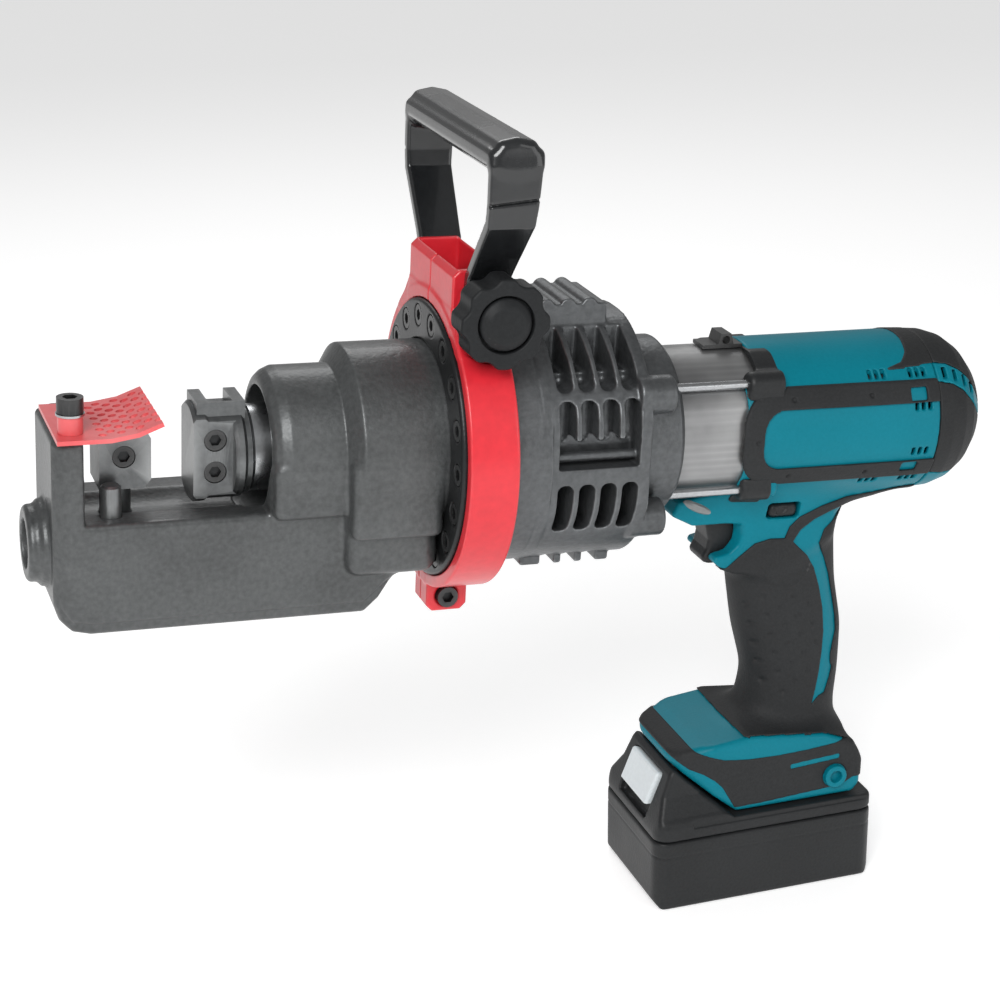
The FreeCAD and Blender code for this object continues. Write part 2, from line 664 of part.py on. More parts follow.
GRIP = [
    # height, middle, depth, width
    (-34, 184, 60, 42),
    (-62, 187.5, 54.5, 39),
    (-85, 190.5, 53.5, 37),
    (-110, 196.3, 54, 37),
    (-135, 201, 46, 37),
    (-152, 199.8, 47, 39),
    (-168, 195, 60, 44),
]


def grip_solid(inset):
    """Loft down the grip, drawn in by inset all round."""
    wires = []
    for height, middle, depth, width in GRIP:
        points = []
        for step in range(24):
            angle = 2 * math.pi * step / 24
            c, s = math.cos(angle), math.sin(angle)
            px = math.copysign(abs(c) ** 0.8, c) * (depth / 2 - inset)
            py = math.copysign(abs(s) ** 0.8, s) * (width / 2 - inset)
            points.append(Vector(middle + px, py, height))
        curve = Part.BSplineCurve()
        curve.interpolate(points, PeriodicFlag=True)
        wires.append(Part.Wire(curve.toShape()))
    return Part.makeLoft(wires, True, False)


def on_foot(x, z):
    """Point drawn in the battery's own frame, moved to the flange frame."""
    pitch = math.radians(size["battery_pitch"])
    return (FOOT_X + x * math.cos(pitch) - z * math.sin(pitch),
            FOOT_Z + x * math.sin(pitch) + z * math.cos(pitch))


FOOT_X = 178.0
FOOT_Z = -207.6
FOOT_SIDE = [
    (53, 8.7), (57, 14), (57, 27), (50, 37), (34, 43), (-8, 47.5), (-34, 45.5), (-51, 41),
    (-43, 33), (-16, 8.7),
]


def prism(outline, half_width):
    """Solid between two sides of the tool from a side outline of (x, z) points."""
    points = [Vector(x, -half_width, z) for x, z in outline]
    wire = Part.makePolygon(points + points[:1])
    return Part.Face(wire).extrude(Vector(0, 2 * half_width, 0))


def tube_x(radius, start, end):
    return Part.makeCylinder(radius, end - start, Vector(start, 0, 0), Vector(1, 0, 0))


def housing_outer():
    """Outside of both housing halves: motor barrel, trigger housing, grip core and foot."""
    barrel = tube_x(size["motor_radius"], 147, 250).cut(Part.makeBox(12, 100, 30, Vector(145, -50, 24)))
    front = prism([(123, -44), (126, -37), (150, -30), (212, -25), (210, -60), (176, -75), (156, -74.1),
                   (149, -71.2), (146, -68.2), (154, -64.7), (159, -60.7), (160.5, -55), (159, -48.8),
                   (133, -48.8)], 17.5)
    edges = [e for e in front.Edges if abs(e.Vertexes[0].Y - e.Vertexes[-1].Y) < 0.01]
    front = front.makeFillet(2.5, edges)
    foot = prism([on_foot(x, z) for x, z in FOOT_SIDE], 33)
    edges = [e for e in foot.Edges if abs(e.Vertexes[0].Y - e.Vertexes[-1].Y) < 0.01
             and e.BoundBox.ZMax > FOOT_Z + 20]
    foot = foot.makeFillet(2.5, edges)
    ears = []
    for degrees in TIE_ROD_ANGLES:
        y, z = on_circle(40.2, degrees)
        ears.append(Part.makeCylinder(4.6, 16, Vector(150, y, z), Vector(1, 0, 0)))
    return barrel.multiFuse([front, grip_solid(2.3), foot] + ears)


def housing_cavity():
    """Spaces inside the housing for motor, gear case, trigger, switch and battery rail."""
    wall = size["housing_wall"]
    room = tube_x(size["motor_radius"] - wall, 146, 251)
    case_room = tube_x(size["case_radius"] + size["seam_gap"], 110, 165.5)
    grip_room = grip_solid(2.3 + wall)
    keep = Part.makeBox(100, 60, 106, Vector(150, -30, -158))
    grip_room = grip_room.common(keep)
    trigger_room = Part.makeBox(28, 19.2, 29, Vector(144, -9.6, -77.5))
    switch_room = Part.makeBox(35, 21, 30, Vector(172, -10.5, -79))
    rail = prism([on_foot(x, z) for x, z in ((-30, 8), (46, 8), (46, 15.2), (-30, 15.2))], 18.5)
    tools = [case_room, grip_room, trigger_room, switch_room, rail]
    for degrees in TIE_ROD_ANGLES:
        y, z = on_circle(40.2, degrees)
        tools.append(Part.makeCylinder(2.3, 14, Vector(146, y, z), Vector(1, 0, 0)))
    tools.append(Part.makeBox(16.6, 60, 8.6, Vector(170.3, -30, -46.3)))
    for x, z in SCREW_PLACES:
        tools.append(Part.makeCylinder(1.8, 60, Vector(x, -30, z), Vector(0, 1, 0)))
        tools.append(Part.makeCylinder(3.6, 30, Vector(x, -45, z), Vector(0, 1, 0)))
    return room.multiFuse(tools)


SCREW_PLACES = [(215, -181)]


def make_housing():
    """Clamshell halves, split on the tool's middle plane."""
    shell = housing_outer().cut(housing_cavity())
    left = shell.common(Part.makeBox(200, 60, 300, Vector(100, -60.05, -260)))
    right = shell.common(Part.makeBox(200, 60, 300, Vector(100, 0.05, -260)))
    sub_part("housing_left", free_shape("housing_left_shell", left))
    sub_part("housing_right", free_shape("housing_right_shell", right))
    skin = grip_solid(0).cut(grip_solid(2.0))
    band = Part.makeBox(100, 60, 72, Vector(150, -30, -150))
    sub_part("grip_overmould", free_shape("grip_skin", skin.common(band)))
    screw = socket_screw("foot_screw", (3.4, 3), (1.7, 22), (215, -19, -181), 1, "y")
    sub_part("housing_screw", screw)


def make_straps():
    """U-shaped guard straps on both sides of the motor barrel."""
    inner, outer = size["motor_radius"] + size["seam_gap"], size["motor_radius"] + 2.6
    tube = cut("strap_tube", rod("strap_outer", outer, 98, (151, 0, 0)),
               [rod("strap_inner", inner, 110, (150, 0, 0))])
    frame = slab("strap_frame", [(151, -13), (156, -19), (250, -21), (250, -13), (161, -11),
                                 (159, -8), (159, 14), (162, 17), (250, 18), (250, 25),
                                 (168.6, 24.1), (166.8, 20.9), (154, 20.9), (151, 18)], 100)
    both = common("strap_both", tube, frame)
    left = common("strap_left", both, block("strap_left_box", (140, -60, -40), (260, 0, 40)))
    sub_part("side_strap_left", left)
    right_box = block("strap_right_box", (140, 0, -40), (260, 60, 40))
    sub_part("side_strap_right", common("strap_right", both, right_box))


def make_rear_cap():
    """Domed rear cap with a band of vents."""
    cap = turned("cap_body", [
        (250.3, 36.5), (250.3, 39.3), (260.5, 38.4), (269, 34.5), (276, 28.5), (281.5, 21), (285, 12),
        (285, 0), (282, 0), (282, 10.5), (278.5, 19), (273.8, 26.3), (267.5, 32), (260, 35.6),
    ])
    vents = []
    for index in range(12):
        angle = 30 * index + 15
        vent = block(f"cap_vent_{index}", (0, -3, 28), (3, 3, 45))
        vent.Placement = Placement(Vector(264, 0, 0), Rotation(Vector(1, 0, 0), angle)).multiply(
            Placement(Vector(0, -3, 28), Rotation()))
        vents.append(vent)
    sub_part("rear_cap", cut("cap", cap, vents))


def make_controls():
    """Trigger with its spring, switch unit, release switch and lamp lens."""
    trigger = slab("trigger_body", [
        (143.6, -49.6), (144.4, -54), (146, -60), (145.2, -65), (143.2, -69), (143.8, -71.6),
        (147, -72.6), (163, -72.6), (163, -49.6),
    ], 18.6)
    sub_part("trigger", trigger)
    spring = coil("trigger_coil", 163.4, 175, 4.2, 0.7, 4)
    spring.Placement = Placement(Vector(164.1, 0, -62), ALONG["x"])
    sub_part("trigger_spring", spring)
    sub_part("switch_unit", block("switch_body", (175.6, -10.2, -78), (205, 10.2, -51)))
    bar = slab("release_bar", [
        (171.2, -44), (172.6, -40), (176, -38.6), (182, -38.6), (185.2, -40), (186.5, -43),
        (184.6, -45.4), (181, -46), (175, -46), (172.4, -45.4),
    ], 44)
    sub_part("release_switch", bar)
    lens = doc.addObject("Part::Ellipsoid", "lens_body")
    lens.Radius1 = 1.2
    lens.Radius2 = 6.5
    lens.Radius3 = 2.6
    lens.Placement = Placement(Vector(134, -17.9, -42.2), Rotation(Vector(0, 0, 1), Vector(0, 1, 0)))
    lens_low = block("lens_half", (125, -20, -50), (145, -17.6, -35))
    sub_part("lamp_lens", common("lens", lens, lens_low))


# ---- battery ---------------------------------------------------------------------------------

def battery_place():
    pitch = Rotation(Vector(0, 1, 0), -size["battery_pitch"])
    return Placement(Vector(FOOT_X, 0, FOOT_Z), pitch)


def make_battery():
    """Slide battery, drawn in its own frame with the seam at height 0."""
    half_length = 60.5
    half_width = size["battery_width"] / 2
    shell = slab("pack_case_body", [
        (-half_length, -34), (-half_length + 3, -37.5), (half_length - 3, -37.5),
        (half_length, -34), (half_length, 0), (-half_length, 0),
    ], "Sizes.battery_width")
    room = block("pack_case_room", (-52, -35, -35), (52, 35, 1))
    case = cut("pack_case", shell, [room])
    lid_side = [(-60.5, 0.1), (-60.5, 4), (-48, 34.5), (-46.3, 34.2), (-40.6, 28.6), (-17.2, 8), (61, 8),
                (61, 0.1)]
    lid_body = slab("pack_lid_body", lid_side, "Sizes.battery_width")
    tower = block("pack_tower", (-10, -17.8, 7), (44, 17.8, 14.2))
    lid_room = block("pack_lid_room", (-52, -35, -1), (52, 35, 4))
    slope = slope_place()
    pocket = doc.addObject("Part::Box", "pack_button_pocket")
    pocket.Length = 25.2
    pocket.Width = 34.6
    pocket.Height = 9
    pocket.Placement = slope.multiply(Placement(Vector(-11.3, -17.3, -4), Rotation()))
    lid = cut("pack_lid", join("pack_lid_solid", [lid_body, tower]), [lid_room, pocket])
    cells = []
    for line, z in enumerate((-25.8, -6)):
        for column in range(5):
            x = -40 + 20 * column
            length = "Sizes.cell_length"
            cells.append(rod(f"cell_{line}_{column}", 8.9, length, (x, -32.5, z), "y"))
    pack = group("pack_cells", cells)
    button = doc.addObject("Part::Box", "pack_button")
    button.Length = 21.5
    button.Width = 34
    button.Height = 4.6
    button.Placement = slope.multiply(Placement(Vector(-11, -17, -2.6), Rotation()))
    plate = block("pack_terminals", (-6, -14, 14.3), (40, 14, 14.9))
    for label, item in (("battery_case", case), ("battery_top", lid), ("battery_cells", pack),
                        ("battery_button", button), ("battery_terminals", plate)):
        sub_part(label, item)
        item.Placement = battery_place().multiply(item.Placement)


def slope_place():
    """Frame on the battery's slanted front face: X down the slope, Z out of it."""
    down = Vector(-12.5, 0, -30.5)
    down.normalize()
    out = Vector(down.z, 0, -down.x)
    turn = Rotation(down, out.cross(down), out, "ZXY")
    return Placement(Vector(-54.25, 0, 19.25), turn)


# ---- build, check and write ------------------------------------------------------------------

make_yoke()
make_plug()
make_fixed_cutter()
make_post()
make_moving_cutter()
make_ram()
make_guard()
make_flange()
make_clamp()
make_handle()
make_knob()
make_pump()
make_pump_parts()
make_bearing_housing()
make_gears()
make_gear_case()
make_motor()
make_housing()
make_straps()
make_rear_cap()
make_controls()
make_battery()

to_seat = Placement(Vector(size["seat_to_clamp"], 0, 0), Rotation())
for item in sub_parts:
    item.Placement = to_seat.multiply(item.Placement)

doc.recompute()
for item in doc.Objects:
    if "Invalid" in item.State or "Error" in item.State:
        raise RuntimeError(f"{item.Label} did not build: {item.State}")
for item in sub_parts:
    if item.Shape.isNull() or not item.Shape.isValid() or not item.Shape.Solids:
        raise RuntimeError(f"{item.Label} has no valid solid")

os.makedirs("parts", exist_ok=True)
for item in sub_parts:
    item.Shape.exportStep(f"parts/{item.Label}.step")
print(len(sub_parts), "sub-parts written")
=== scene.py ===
import json
import math

import bpy
import numpy as np
from mathutils import Matrix, Vector


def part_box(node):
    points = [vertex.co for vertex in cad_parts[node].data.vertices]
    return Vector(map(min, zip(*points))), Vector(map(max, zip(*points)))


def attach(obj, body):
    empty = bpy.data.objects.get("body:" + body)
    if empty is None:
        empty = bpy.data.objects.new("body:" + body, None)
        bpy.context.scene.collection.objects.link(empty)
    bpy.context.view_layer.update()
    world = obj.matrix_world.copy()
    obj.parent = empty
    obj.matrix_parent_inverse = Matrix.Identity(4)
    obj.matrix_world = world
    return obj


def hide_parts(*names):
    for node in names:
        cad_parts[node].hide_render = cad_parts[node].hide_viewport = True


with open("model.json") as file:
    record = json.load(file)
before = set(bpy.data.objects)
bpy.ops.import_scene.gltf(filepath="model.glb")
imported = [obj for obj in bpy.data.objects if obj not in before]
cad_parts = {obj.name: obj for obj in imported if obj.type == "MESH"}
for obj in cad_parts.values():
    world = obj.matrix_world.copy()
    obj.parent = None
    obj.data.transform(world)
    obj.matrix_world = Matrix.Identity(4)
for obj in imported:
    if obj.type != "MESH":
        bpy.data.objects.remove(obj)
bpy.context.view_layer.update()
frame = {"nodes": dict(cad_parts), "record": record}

# Shapes are in millimetres behind the clamp ring's front face, with the ram axis at y = z = 0.
MM = 0.001
SEAT = 121.4                        # middle of the rod gap to the clamp ring's front face
NODES = frame["nodes"]
PITCH = math.radians(3.3)           # slope of the battery's slide against the ram axis
FOOT = (178.0, -207.6)              # x and z of the battery frame's origin
AXIS = (0, 0)                       # y and z of the ram axis
PLUG = (0, -39)                     # y and z of the front plug
PIVOT = (15.3, 70.5)                # x and z of the handle's bolt
PINCH = (11, -77.5)                 # x and z of the clamp's lower screw
FLANGE_CIRCLE, FLANGE_BOLTS = 57, 18
BOSSES = [(-46, 29), (-42, -32)]    # y and z of the pump's screw bosses, near side
FIN_START, FIN_PITCH, FIN_GAP = 46.7, 10.5, 7.6
ROD_ANGLES = (41, -41)              # degrees above and below the side, near side
ROD_CIRCLE, EAR_CIRCLE = 40.2, 39.5
FOOT_SCREW = (215.5, -184.6)        # x and z
BATTERY_HALF = 37.5                 # half of the battery's width


# ---- materials -------------------------------------------------------------------------------

def surface(name, color, rough, metal=0.0, spread=0.06, grain=300.0, bump=0.05, edge_highlight=None,
            rough_spread=0.12, coat=0.0, blotch=25.0, shine=0.5):
    """Procedural finish: two scales of colour variation, roughness variation, fine bump and
    painted highlights, lighter in patches along sharp edges."""
    mat = bpy.data.materials.new(name)
    mat.use_nodes = True
    tree = mat.node_tree
    link = tree.links.new
    shader = tree.nodes["Principled BSDF"]
    shader.inputs["Metallic"].default_value = metal
    shader.inputs["Coat Weight"].default_value = coat
    shader.inputs["Coat Roughness"].default_value = 0.08
    shader.inputs["Specular IOR Level"].default_value = shine
    place = tree.nodes.new("ShaderNodeTexCoord")
    fine = tree.nodes.new("ShaderNodeTexNoise")
    fine.inputs["Scale"].default_value = grain
    fine.inputs["Detail"].default_value = 4.0
    broad = tree.nodes.new("ShaderNodeTexNoise")
    broad.inputs["Scale"].default_value = blotch
    broad.inputs["Detail"].default_value = 3.0
    link(place.outputs["Object"], fine.inputs["Vector"])
    link(place.outputs["Object"], broad.inputs["Vector"])
    ramp = tree.nodes.new("ShaderNodeValToRGB")
    low = [max(0.0, c * (1 - spread * 2)) for c in color]
    high = [min(1.0, c * (1 + spread * 2) + 0.002) for c in color]
    ramp.color_ramp.elements[0].position = 0.3
    ramp.color_ramp.elements[0].color = (*low, 1)
    ramp.color_ramp.elements[1].position = 0.7
    ramp.color_ramp.elements[1].color = (*high, 1)
    mix = tree.nodes.new("ShaderNodeMix")
    mix.inputs["Factor"].default_value = 0.5
    link(fine.outputs["Fac"], mix.inputs["A"])
    link(broad.outputs["Fac"], mix.inputs["B"])
    link(mix.outputs["Result"], ramp.inputs["Fac"])
    result = ramp.outputs["Color"]
    # Painted highlight: sharp convex edges, found by pointiness, are mixed towards a lighter colour in broad
    # patches.
    if edge_highlight:
        edge = tree.nodes.new("ShaderNodeNewGeometry")
        sharp = tree.nodes.new("ShaderNodeMapRange")
        sharp.inputs["From Min"].default_value = 0.53
        sharp.inputs["From Max"].default_value = 0.62
        link(edge.outputs["Pointiness"], sharp.inputs["Value"])
        patch = tree.nodes.new("ShaderNodeMath")
        patch.operation = "MULTIPLY"
        link(sharp.outputs["Result"], patch.inputs[0])
        link(broad.outputs["Fac"], patch.inputs[1])
        highlight_mix = tree.nodes.new("ShaderNodeMix")
        highlight_mix.data_type = "RGBA"
        link(patch.outputs["Value"], highlight_mix.inputs["Factor"])
        link(result, highlight_mix.inputs["A"])
        highlight_mix.inputs["B"].default_value = (*edge_highlight, 1)
        result = highlight_mix.outputs["Result"]
    link(result, shader.inputs["Base Color"])
    level = tree.nodes.new("ShaderNodeMapRange")
    level.inputs["To Min"].default_value = max(0.02, rough - rough_spread)
    level.inputs["To Max"].default_value = min(1.0, rough + rough_spread)
    link(broad.outputs["Fac"], level.inputs["Value"])
    link(level.outputs["Result"], shader.inputs["Roughness"])
    raised = tree.nodes.new("ShaderNodeBump")
    raised.inputs["Strength"].default_value = bump
    raised.inputs["Distance"].default_value = 0.0005
    link(fine.outputs["Fac"], raised.inputs["Height"])
    link(raised.outputs["Normal"], shader.inputs["Normal"])
    return mat


# The lighter edge colour given for a finish is a painted highlight on its sharp edges.
LOOKS = {
    "cast_steel": dict(color=(0.085, 0.089, 0.090), rough=0.42, metal=0.5, spread=0.16, grain=420, bump=0.5,
                       edge_highlight=(0.26, 0.27, 0.27), coat=0.12),
    "dark_steel": dict(color=(0.020, 0.021, 0.022), rough=0.36, metal=0.6, spread=0.12, grain=500, bump=0.15,
                       edge_highlight=(0.10, 0.10, 0.10)),
    "tool_steel": dict(color=(0.125, 0.13, 0.132), rough=0.34, metal=0.8, spread=0.14, grain=350, bump=0.22,
                       edge_highlight=(0.42, 0.43, 0.43)),
    "bright_steel": dict(color=(0.42, 0.43, 0.44), rough=0.26, metal=1.0, spread=0.08, grain=500, bump=0.1),
    "seal_rubber": dict(color=(0.02, 0.02, 0.02), rough=0.6),
    "spring_steel": dict(color=(0.25, 0.25, 0.26), rough=0.35, metal=1.0),
    "red_paint": dict(color=(0.66, 0.018, 0.030), rough=0.34, spread=0.05, grain=260, bump=0.10,
                      edge_highlight=(0.80, 0.22, 0.22), coat=0.2),
    "gloss_black": dict(color=(0.010, 0.011, 0.012), rough=0.24, metal=0.1, spread=0.1, grain=240, bump=0.10,
                        edge_highlight=(0.06, 0.06, 0.06), coat=0.5),
    "knob_plastic": dict(color=(0.013, 0.014, 0.015), rough=0.5, spread=0.12, grain=600, bump=0.25,
                         edge_highlight=(0.04, 0.04, 0.04), shine=0.2),
    "cast_aluminium": dict(color=(0.105, 0.110, 0.114), rough=0.40, metal=0.7, spread=0.14, grain=380,
                           bump=0.45, edge_highlight=(0.52, 0.54, 0.55)),
    "turned_aluminium": dict(color=(0.050, 0.053, 0.056), rough=0.36, metal=0.85, spread=0.07, grain=300,
                             bump=0.12, edge_highlight=(0.6, 0.6, 0.6)),
    "gear_steel": dict(color=(0.3, 0.3, 0.31), rough=0.35, metal=1.0),
    "motor_steel": dict(color=(0.2, 0.2, 0.2), rough=0.4, metal=0.9),
    "black_plastic": dict(color=(0.014, 0.015, 0.016), rough=0.44, spread=0.12, grain=700, bump=0.25,
                          edge_highlight=(0.05, 0.05, 0.05), shine=0.3),
    "teal_plastic": dict(color=(0.0, 0.168, 0.225), rough=0.40, spread=0.03, grain=650, bump=0.12,
                         edge_highlight=(0.02, 0.27, 0.33), shine=0.14),
    "grip_rubber": dict(color=(0.018, 0.019, 0.020), rough=0.62, spread=0.12, grain=800, bump=0.4,
                        edge_highlight=(0.07, 0.07, 0.07), shine=0.25),
    "lens_glass": dict(color=(0.16, 0.17, 0.17), rough=0.12, coat=1.0),
    "button_plastic": dict(color=(0.66, 0.71, 0.73), rough=0.4, spread=0.03, grain=500, bump=0.1),
    "cell_steel": dict(color=(0.35, 0.38, 0.42), rough=0.35, metal=0.8),
    "brass_contact": dict(color=(0.6, 0.45, 0.18), rough=0.3, metal=1.0),
}
FINISH = {name: surface(name, **look) for name, look in LOOKS.items()}
SLOT_OF = {entry["node"]: entry["material_slot"] for entry in frame["record"]["subparts"]}
for node, obj in NODES.items():
    obj.data.materials.clear()
    obj.data.materials.append(FINISH[SLOT_OF[node]])


# ---- solid shapes as signed distances --------------------------------------------------------

def polygon(points):
    """Signed distance to a closed outline in a plane."""
    spots = np.array(points, dtype=np.float32)

    def distance(u, v):
        best = np.float32(1e9)
        inside = False
        for (ax, ay), (bx, by) in zip(spots, np.roll(spots, -1, axis=0)):
            ex, ey = bx - ax, by - ay
            wx, wy = u - ax, v - ay
            t = np.clip((wx * ex + wy * ey) / (ex * ex + ey * ey), 0, 1)
            best = np.minimum(best, (wx - ex * t) ** 2 + (wy - ey * t) ** 2)
            if ey != 0:
                crossed = ((ay > v) != (by > v)) & (u < ex * (v - ay) / ey + ax)
                inside = inside ^ crossed
        return np.where(inside, -1, 1) * np.sqrt(best)
    return distance


def drawn_in(points, amount):
    """Outline moved inwards, so that rounding it outwards again keeps its size."""
    if amount == 0:
        return points
    area = sum(a[0] * b[1] - b[0] * a[1] for a, b in zip(points, points[1:] + points[:1]))
    side = 1 if area > 0 else -1
    result = []
    for index, here in enumerate(points):
        before, after = Vector(points[index - 1]), Vector(points[(index + 1) % len(points)])
        one = (Vector(here) - before).normalized()
        two = (after - Vector(here)).normalized()
        n1 = Vector((-one.y, one.x)) * side
        n2 = Vector((-two.y, two.x)) * side
        mid = (n1 + n2).normalized()
        reach = amount / max(0.45, mid.dot(n1))
        result.append(tuple(Vector(here) + mid * reach))
    return result


def capped(flat, along, soft):
    """Distance to a solid from its outline's distance and its distance along the run."""
    outside = np.hypot(np.maximum(flat, 0), np.maximum(along, 0))
    return np.minimum(np.maximum(flat, along), 0) + outside - soft


def plate(axis, points, low, high, soft=1.0):
    """Outline run along an axis; points are (x, z) for y, (y, z) for x, (x, y) for z."""
    flat = polygon(drawn_in(points, soft))
    middle, half = (low + high) / 2, (high - low) / 2 - soft

    def shape(x, y, z):
        pair, run = {"y": ((x, z), y), "x": ((y, z), x), "z": ((x, y), z)}[axis]
        return capped(flat(*pair), np.abs(run - middle) - half, soft)
    return shape


def bar(axis, centre, radius, low, high, soft=0.5):
    """Round bar along an axis; centre is its other two coordinates."""
    middle, half = (low + high) / 2, (high - low) / 2 - soft

    def shape(x, y, z):
        u, v, run = {"x": (y, z, x), "y": (x, z, y), "z": (x, y, z)}[axis]
        flat = np.hypot(u - centre[0], v - centre[1]) - radius + soft
        return capped(flat, np.abs(run - middle) - half, soft)
    return shape


def brick(low, high, soft=0.5):
    """Box between two corners."""
    def shape(x, y, z):
        gaps = [np.abs(p - (a + b) / 2) - (b - a) / 2 + soft for p, a, b in zip((x, y, z), low, high)]
        outside = np.sqrt(sum(np.maximum(g, 0) ** 2 for g in gaps))
        return outside + np.minimum(np.maximum(np.maximum(gaps[0], gaps[1]), gaps[2]), 0) - soft
    return shape


def lathe(points, soft=0.5):
    """Outline of (x, radius) turned about the ram axis."""
    flat = polygon(drawn_in(points, soft))
    return lambda x, y, z: flat(x, np.hypot(y, z)) - soft


def region(points, soft=0.6):
    """Outline of (x, z) that reaches all the way across the tool."""
    flat = polygon(drawn_in(points, soft))
    return lambda x, y, z: flat(x, z) - soft


def blend(a, b, soft):
    """Smaller of two distances, rounded where they meet."""
    if soft <= 0:
        return np.minimum(a, b)
    h = np.clip(0.5 + 0.5 * (b - a) / soft, 0, 1)
    return b + (a - b) * h - soft * h * (1 - h)


def merged(soft, *shapes):
    """Union with rounded inner corners."""
    def shape(x, y, z):
        total = shapes[0](x, y, z)
        for extra in shapes[1:]:
            total = blend(total, extra(x, y, z), soft)
        return total
    return shape


def without(base, soft, *tools):
    """Base with the tools cut out of it."""
    def shape(x, y, z):
        total = -base(x, y, z)
        for tool in tools:
            total = blend(total, tool(x, y, z), soft)
        return -total
    return shape


def shared(soft, *shapes):
    """The part that all the shapes have in common."""
    def shape(x, y, z):
        total = -shapes[0](x, y, z)
        for extra in shapes[1:]:
            total = blend(total, -extra(x, y, z), soft)
        return -total
    return shape


def grown(base, amount):
    return lambda x, y, z: base(x, y, z) - amount


def both_sides(base):
    """Shape of the near side, mirrored to the far side."""
    return lambda x, y, z: base(x, -np.abs(y), z)


def on_battery(base):
    """Shape drawn in the battery's own frame: X along its slide, seam at height 0."""
    c, s = math.cos(PITCH), math.sin(PITCH)

    def shape(x, y, z):
        dx, dz = x - FOOT[0], z - FOOT[1]
        return base(dx * c + dz * s, y, dz * c - dx * s)
    return shape


def mesh_of(name, shape, low, high, step):
    """Surface of a shape as quads, one vertex in every grid cell that the surface crosses."""
    low = np.array(low, dtype=float) - 2.5 * step
    counts = np.ceil((np.array(high, dtype=float) + 2.5 * step - low) / step).astype(int) + 1
    axes = [(low[i] + step * np.arange(counts[i])).astype(np.float32) for i in range(3)]
    field = np.empty(counts, dtype=np.float32)
    for start in range(0, counts[0], 32):
        xs = axes[0][start:start + 32, None, None]
        field[start:start + 32] = shape(xs, axes[1][None, :, None], axes[2][None, None, :])
    cells = counts - 1
    keys, spots, rings = [], [], []
    for axis, (u, v) in enumerate(((1, 2), (2, 0), (0, 1))):
        near = [slice(None)] * 3
        far = [slice(None)] * 3
        near[axis] = slice(None, -1)
        far[axis] = slice(1, None)
        a, b = field[tuple(near)], field[tuple(far)]
        hit = np.argwhere((a < 0) != (b < 0))
        fa, fb = a[tuple(hit.T)], b[tuple(hit.T)]
        point = hit.astype(float)
        point[:, axis] += fa / (fa - fb)
        ring = []
        for du, dv in ((-1, -1), (0, -1), (0, 0), (-1, 0)):
            cell = hit.copy()
            cell[:, u] += du
            cell[:, v] += dv
            ring.append((cell[:, 0] * cells[1] + cell[:, 1]) * cells[2] + cell[:, 2])
        ring = np.stack(ring, axis=1)
        rings.append(np.where((fa < 0)[:, None], ring, ring[:, ::-1]))
        keys.append(ring.ravel())
        spots.append(np.repeat(point, 4, axis=0))
    spots = np.concatenate(spots)
    unique, place = np.unique(np.concatenate(keys), return_inverse=True)
    number = np.bincount(place)
    verts = np.stack([np.bincount(place, weights=spots[:, i]) / number for i in range(3)], axis=1)
    verts = low + verts * step
    faces = np.searchsorted(unique, np.concatenate(rings))
    verts = settle(verts, shape, step)
    mesh = bpy.data.meshes.new(name)
    mesh.vertices.add(len(verts))
    mesh.vertices.foreach_set("co", ((verts + (SEAT, 0, 0)) * MM).astype(np.float32).ravel())
    mesh.loops.add(faces.size)
    mesh.loops.foreach_set("vertex_index", faces.ravel().astype(np.int32))
    mesh.polygons.add(len(faces))
    mesh.polygons.foreach_set("loop_start", np.arange(0, faces.size, 4, dtype=np.int32))
    mesh.update(calc_edges=True)
    mesh.shade_smooth()
    return mesh


def settle(verts, shape, step):
    """Move vertices onto the true surface, except along sharp edges."""
    p = verts.astype(np.float32)
    h = 0.3 * step
    value = shape(p[:, 0], p[:, 1], p[:, 2])
    slope = np.empty_like(p)
    for i in range(3):
        shift = np.zeros(3, dtype=np.float32)
        shift[i] = h
        a, b = p + shift, p - shift
        slope[:, i] = (shape(a[:, 0], a[:, 1], a[:, 2]) - shape(b[:, 0], b[:, 1], b[:, 2])) / (2 * h)
    size = np.sqrt((slope ** 2).sum(axis=1))
    trust = np.clip((size - 0.6) / 0.3, 0, 1)
    steep = np.maximum(size, 0.3)
    move = np.clip(value / steep, -0.5 * step, 0.5 * step) * trust / steep
    return verts - slope * move[:, None]


def piece(name, shape, low, high, step, slot, body, *nodes):
    """Mesh a shape within a box, ride it on a body and hide the CAD nodes that it replaces."""
    mesh = mesh_of(name, shape, low, high, step)
    mesh.materials.append(FINISH[slot])
    obj = bpy.data.objects.new(name, mesh)
    bpy.context.collection.objects.link(obj)
    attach(obj, body)
    if nodes:
        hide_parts(*nodes)


# ---- cutting head ----------------------------------------------------------------------------

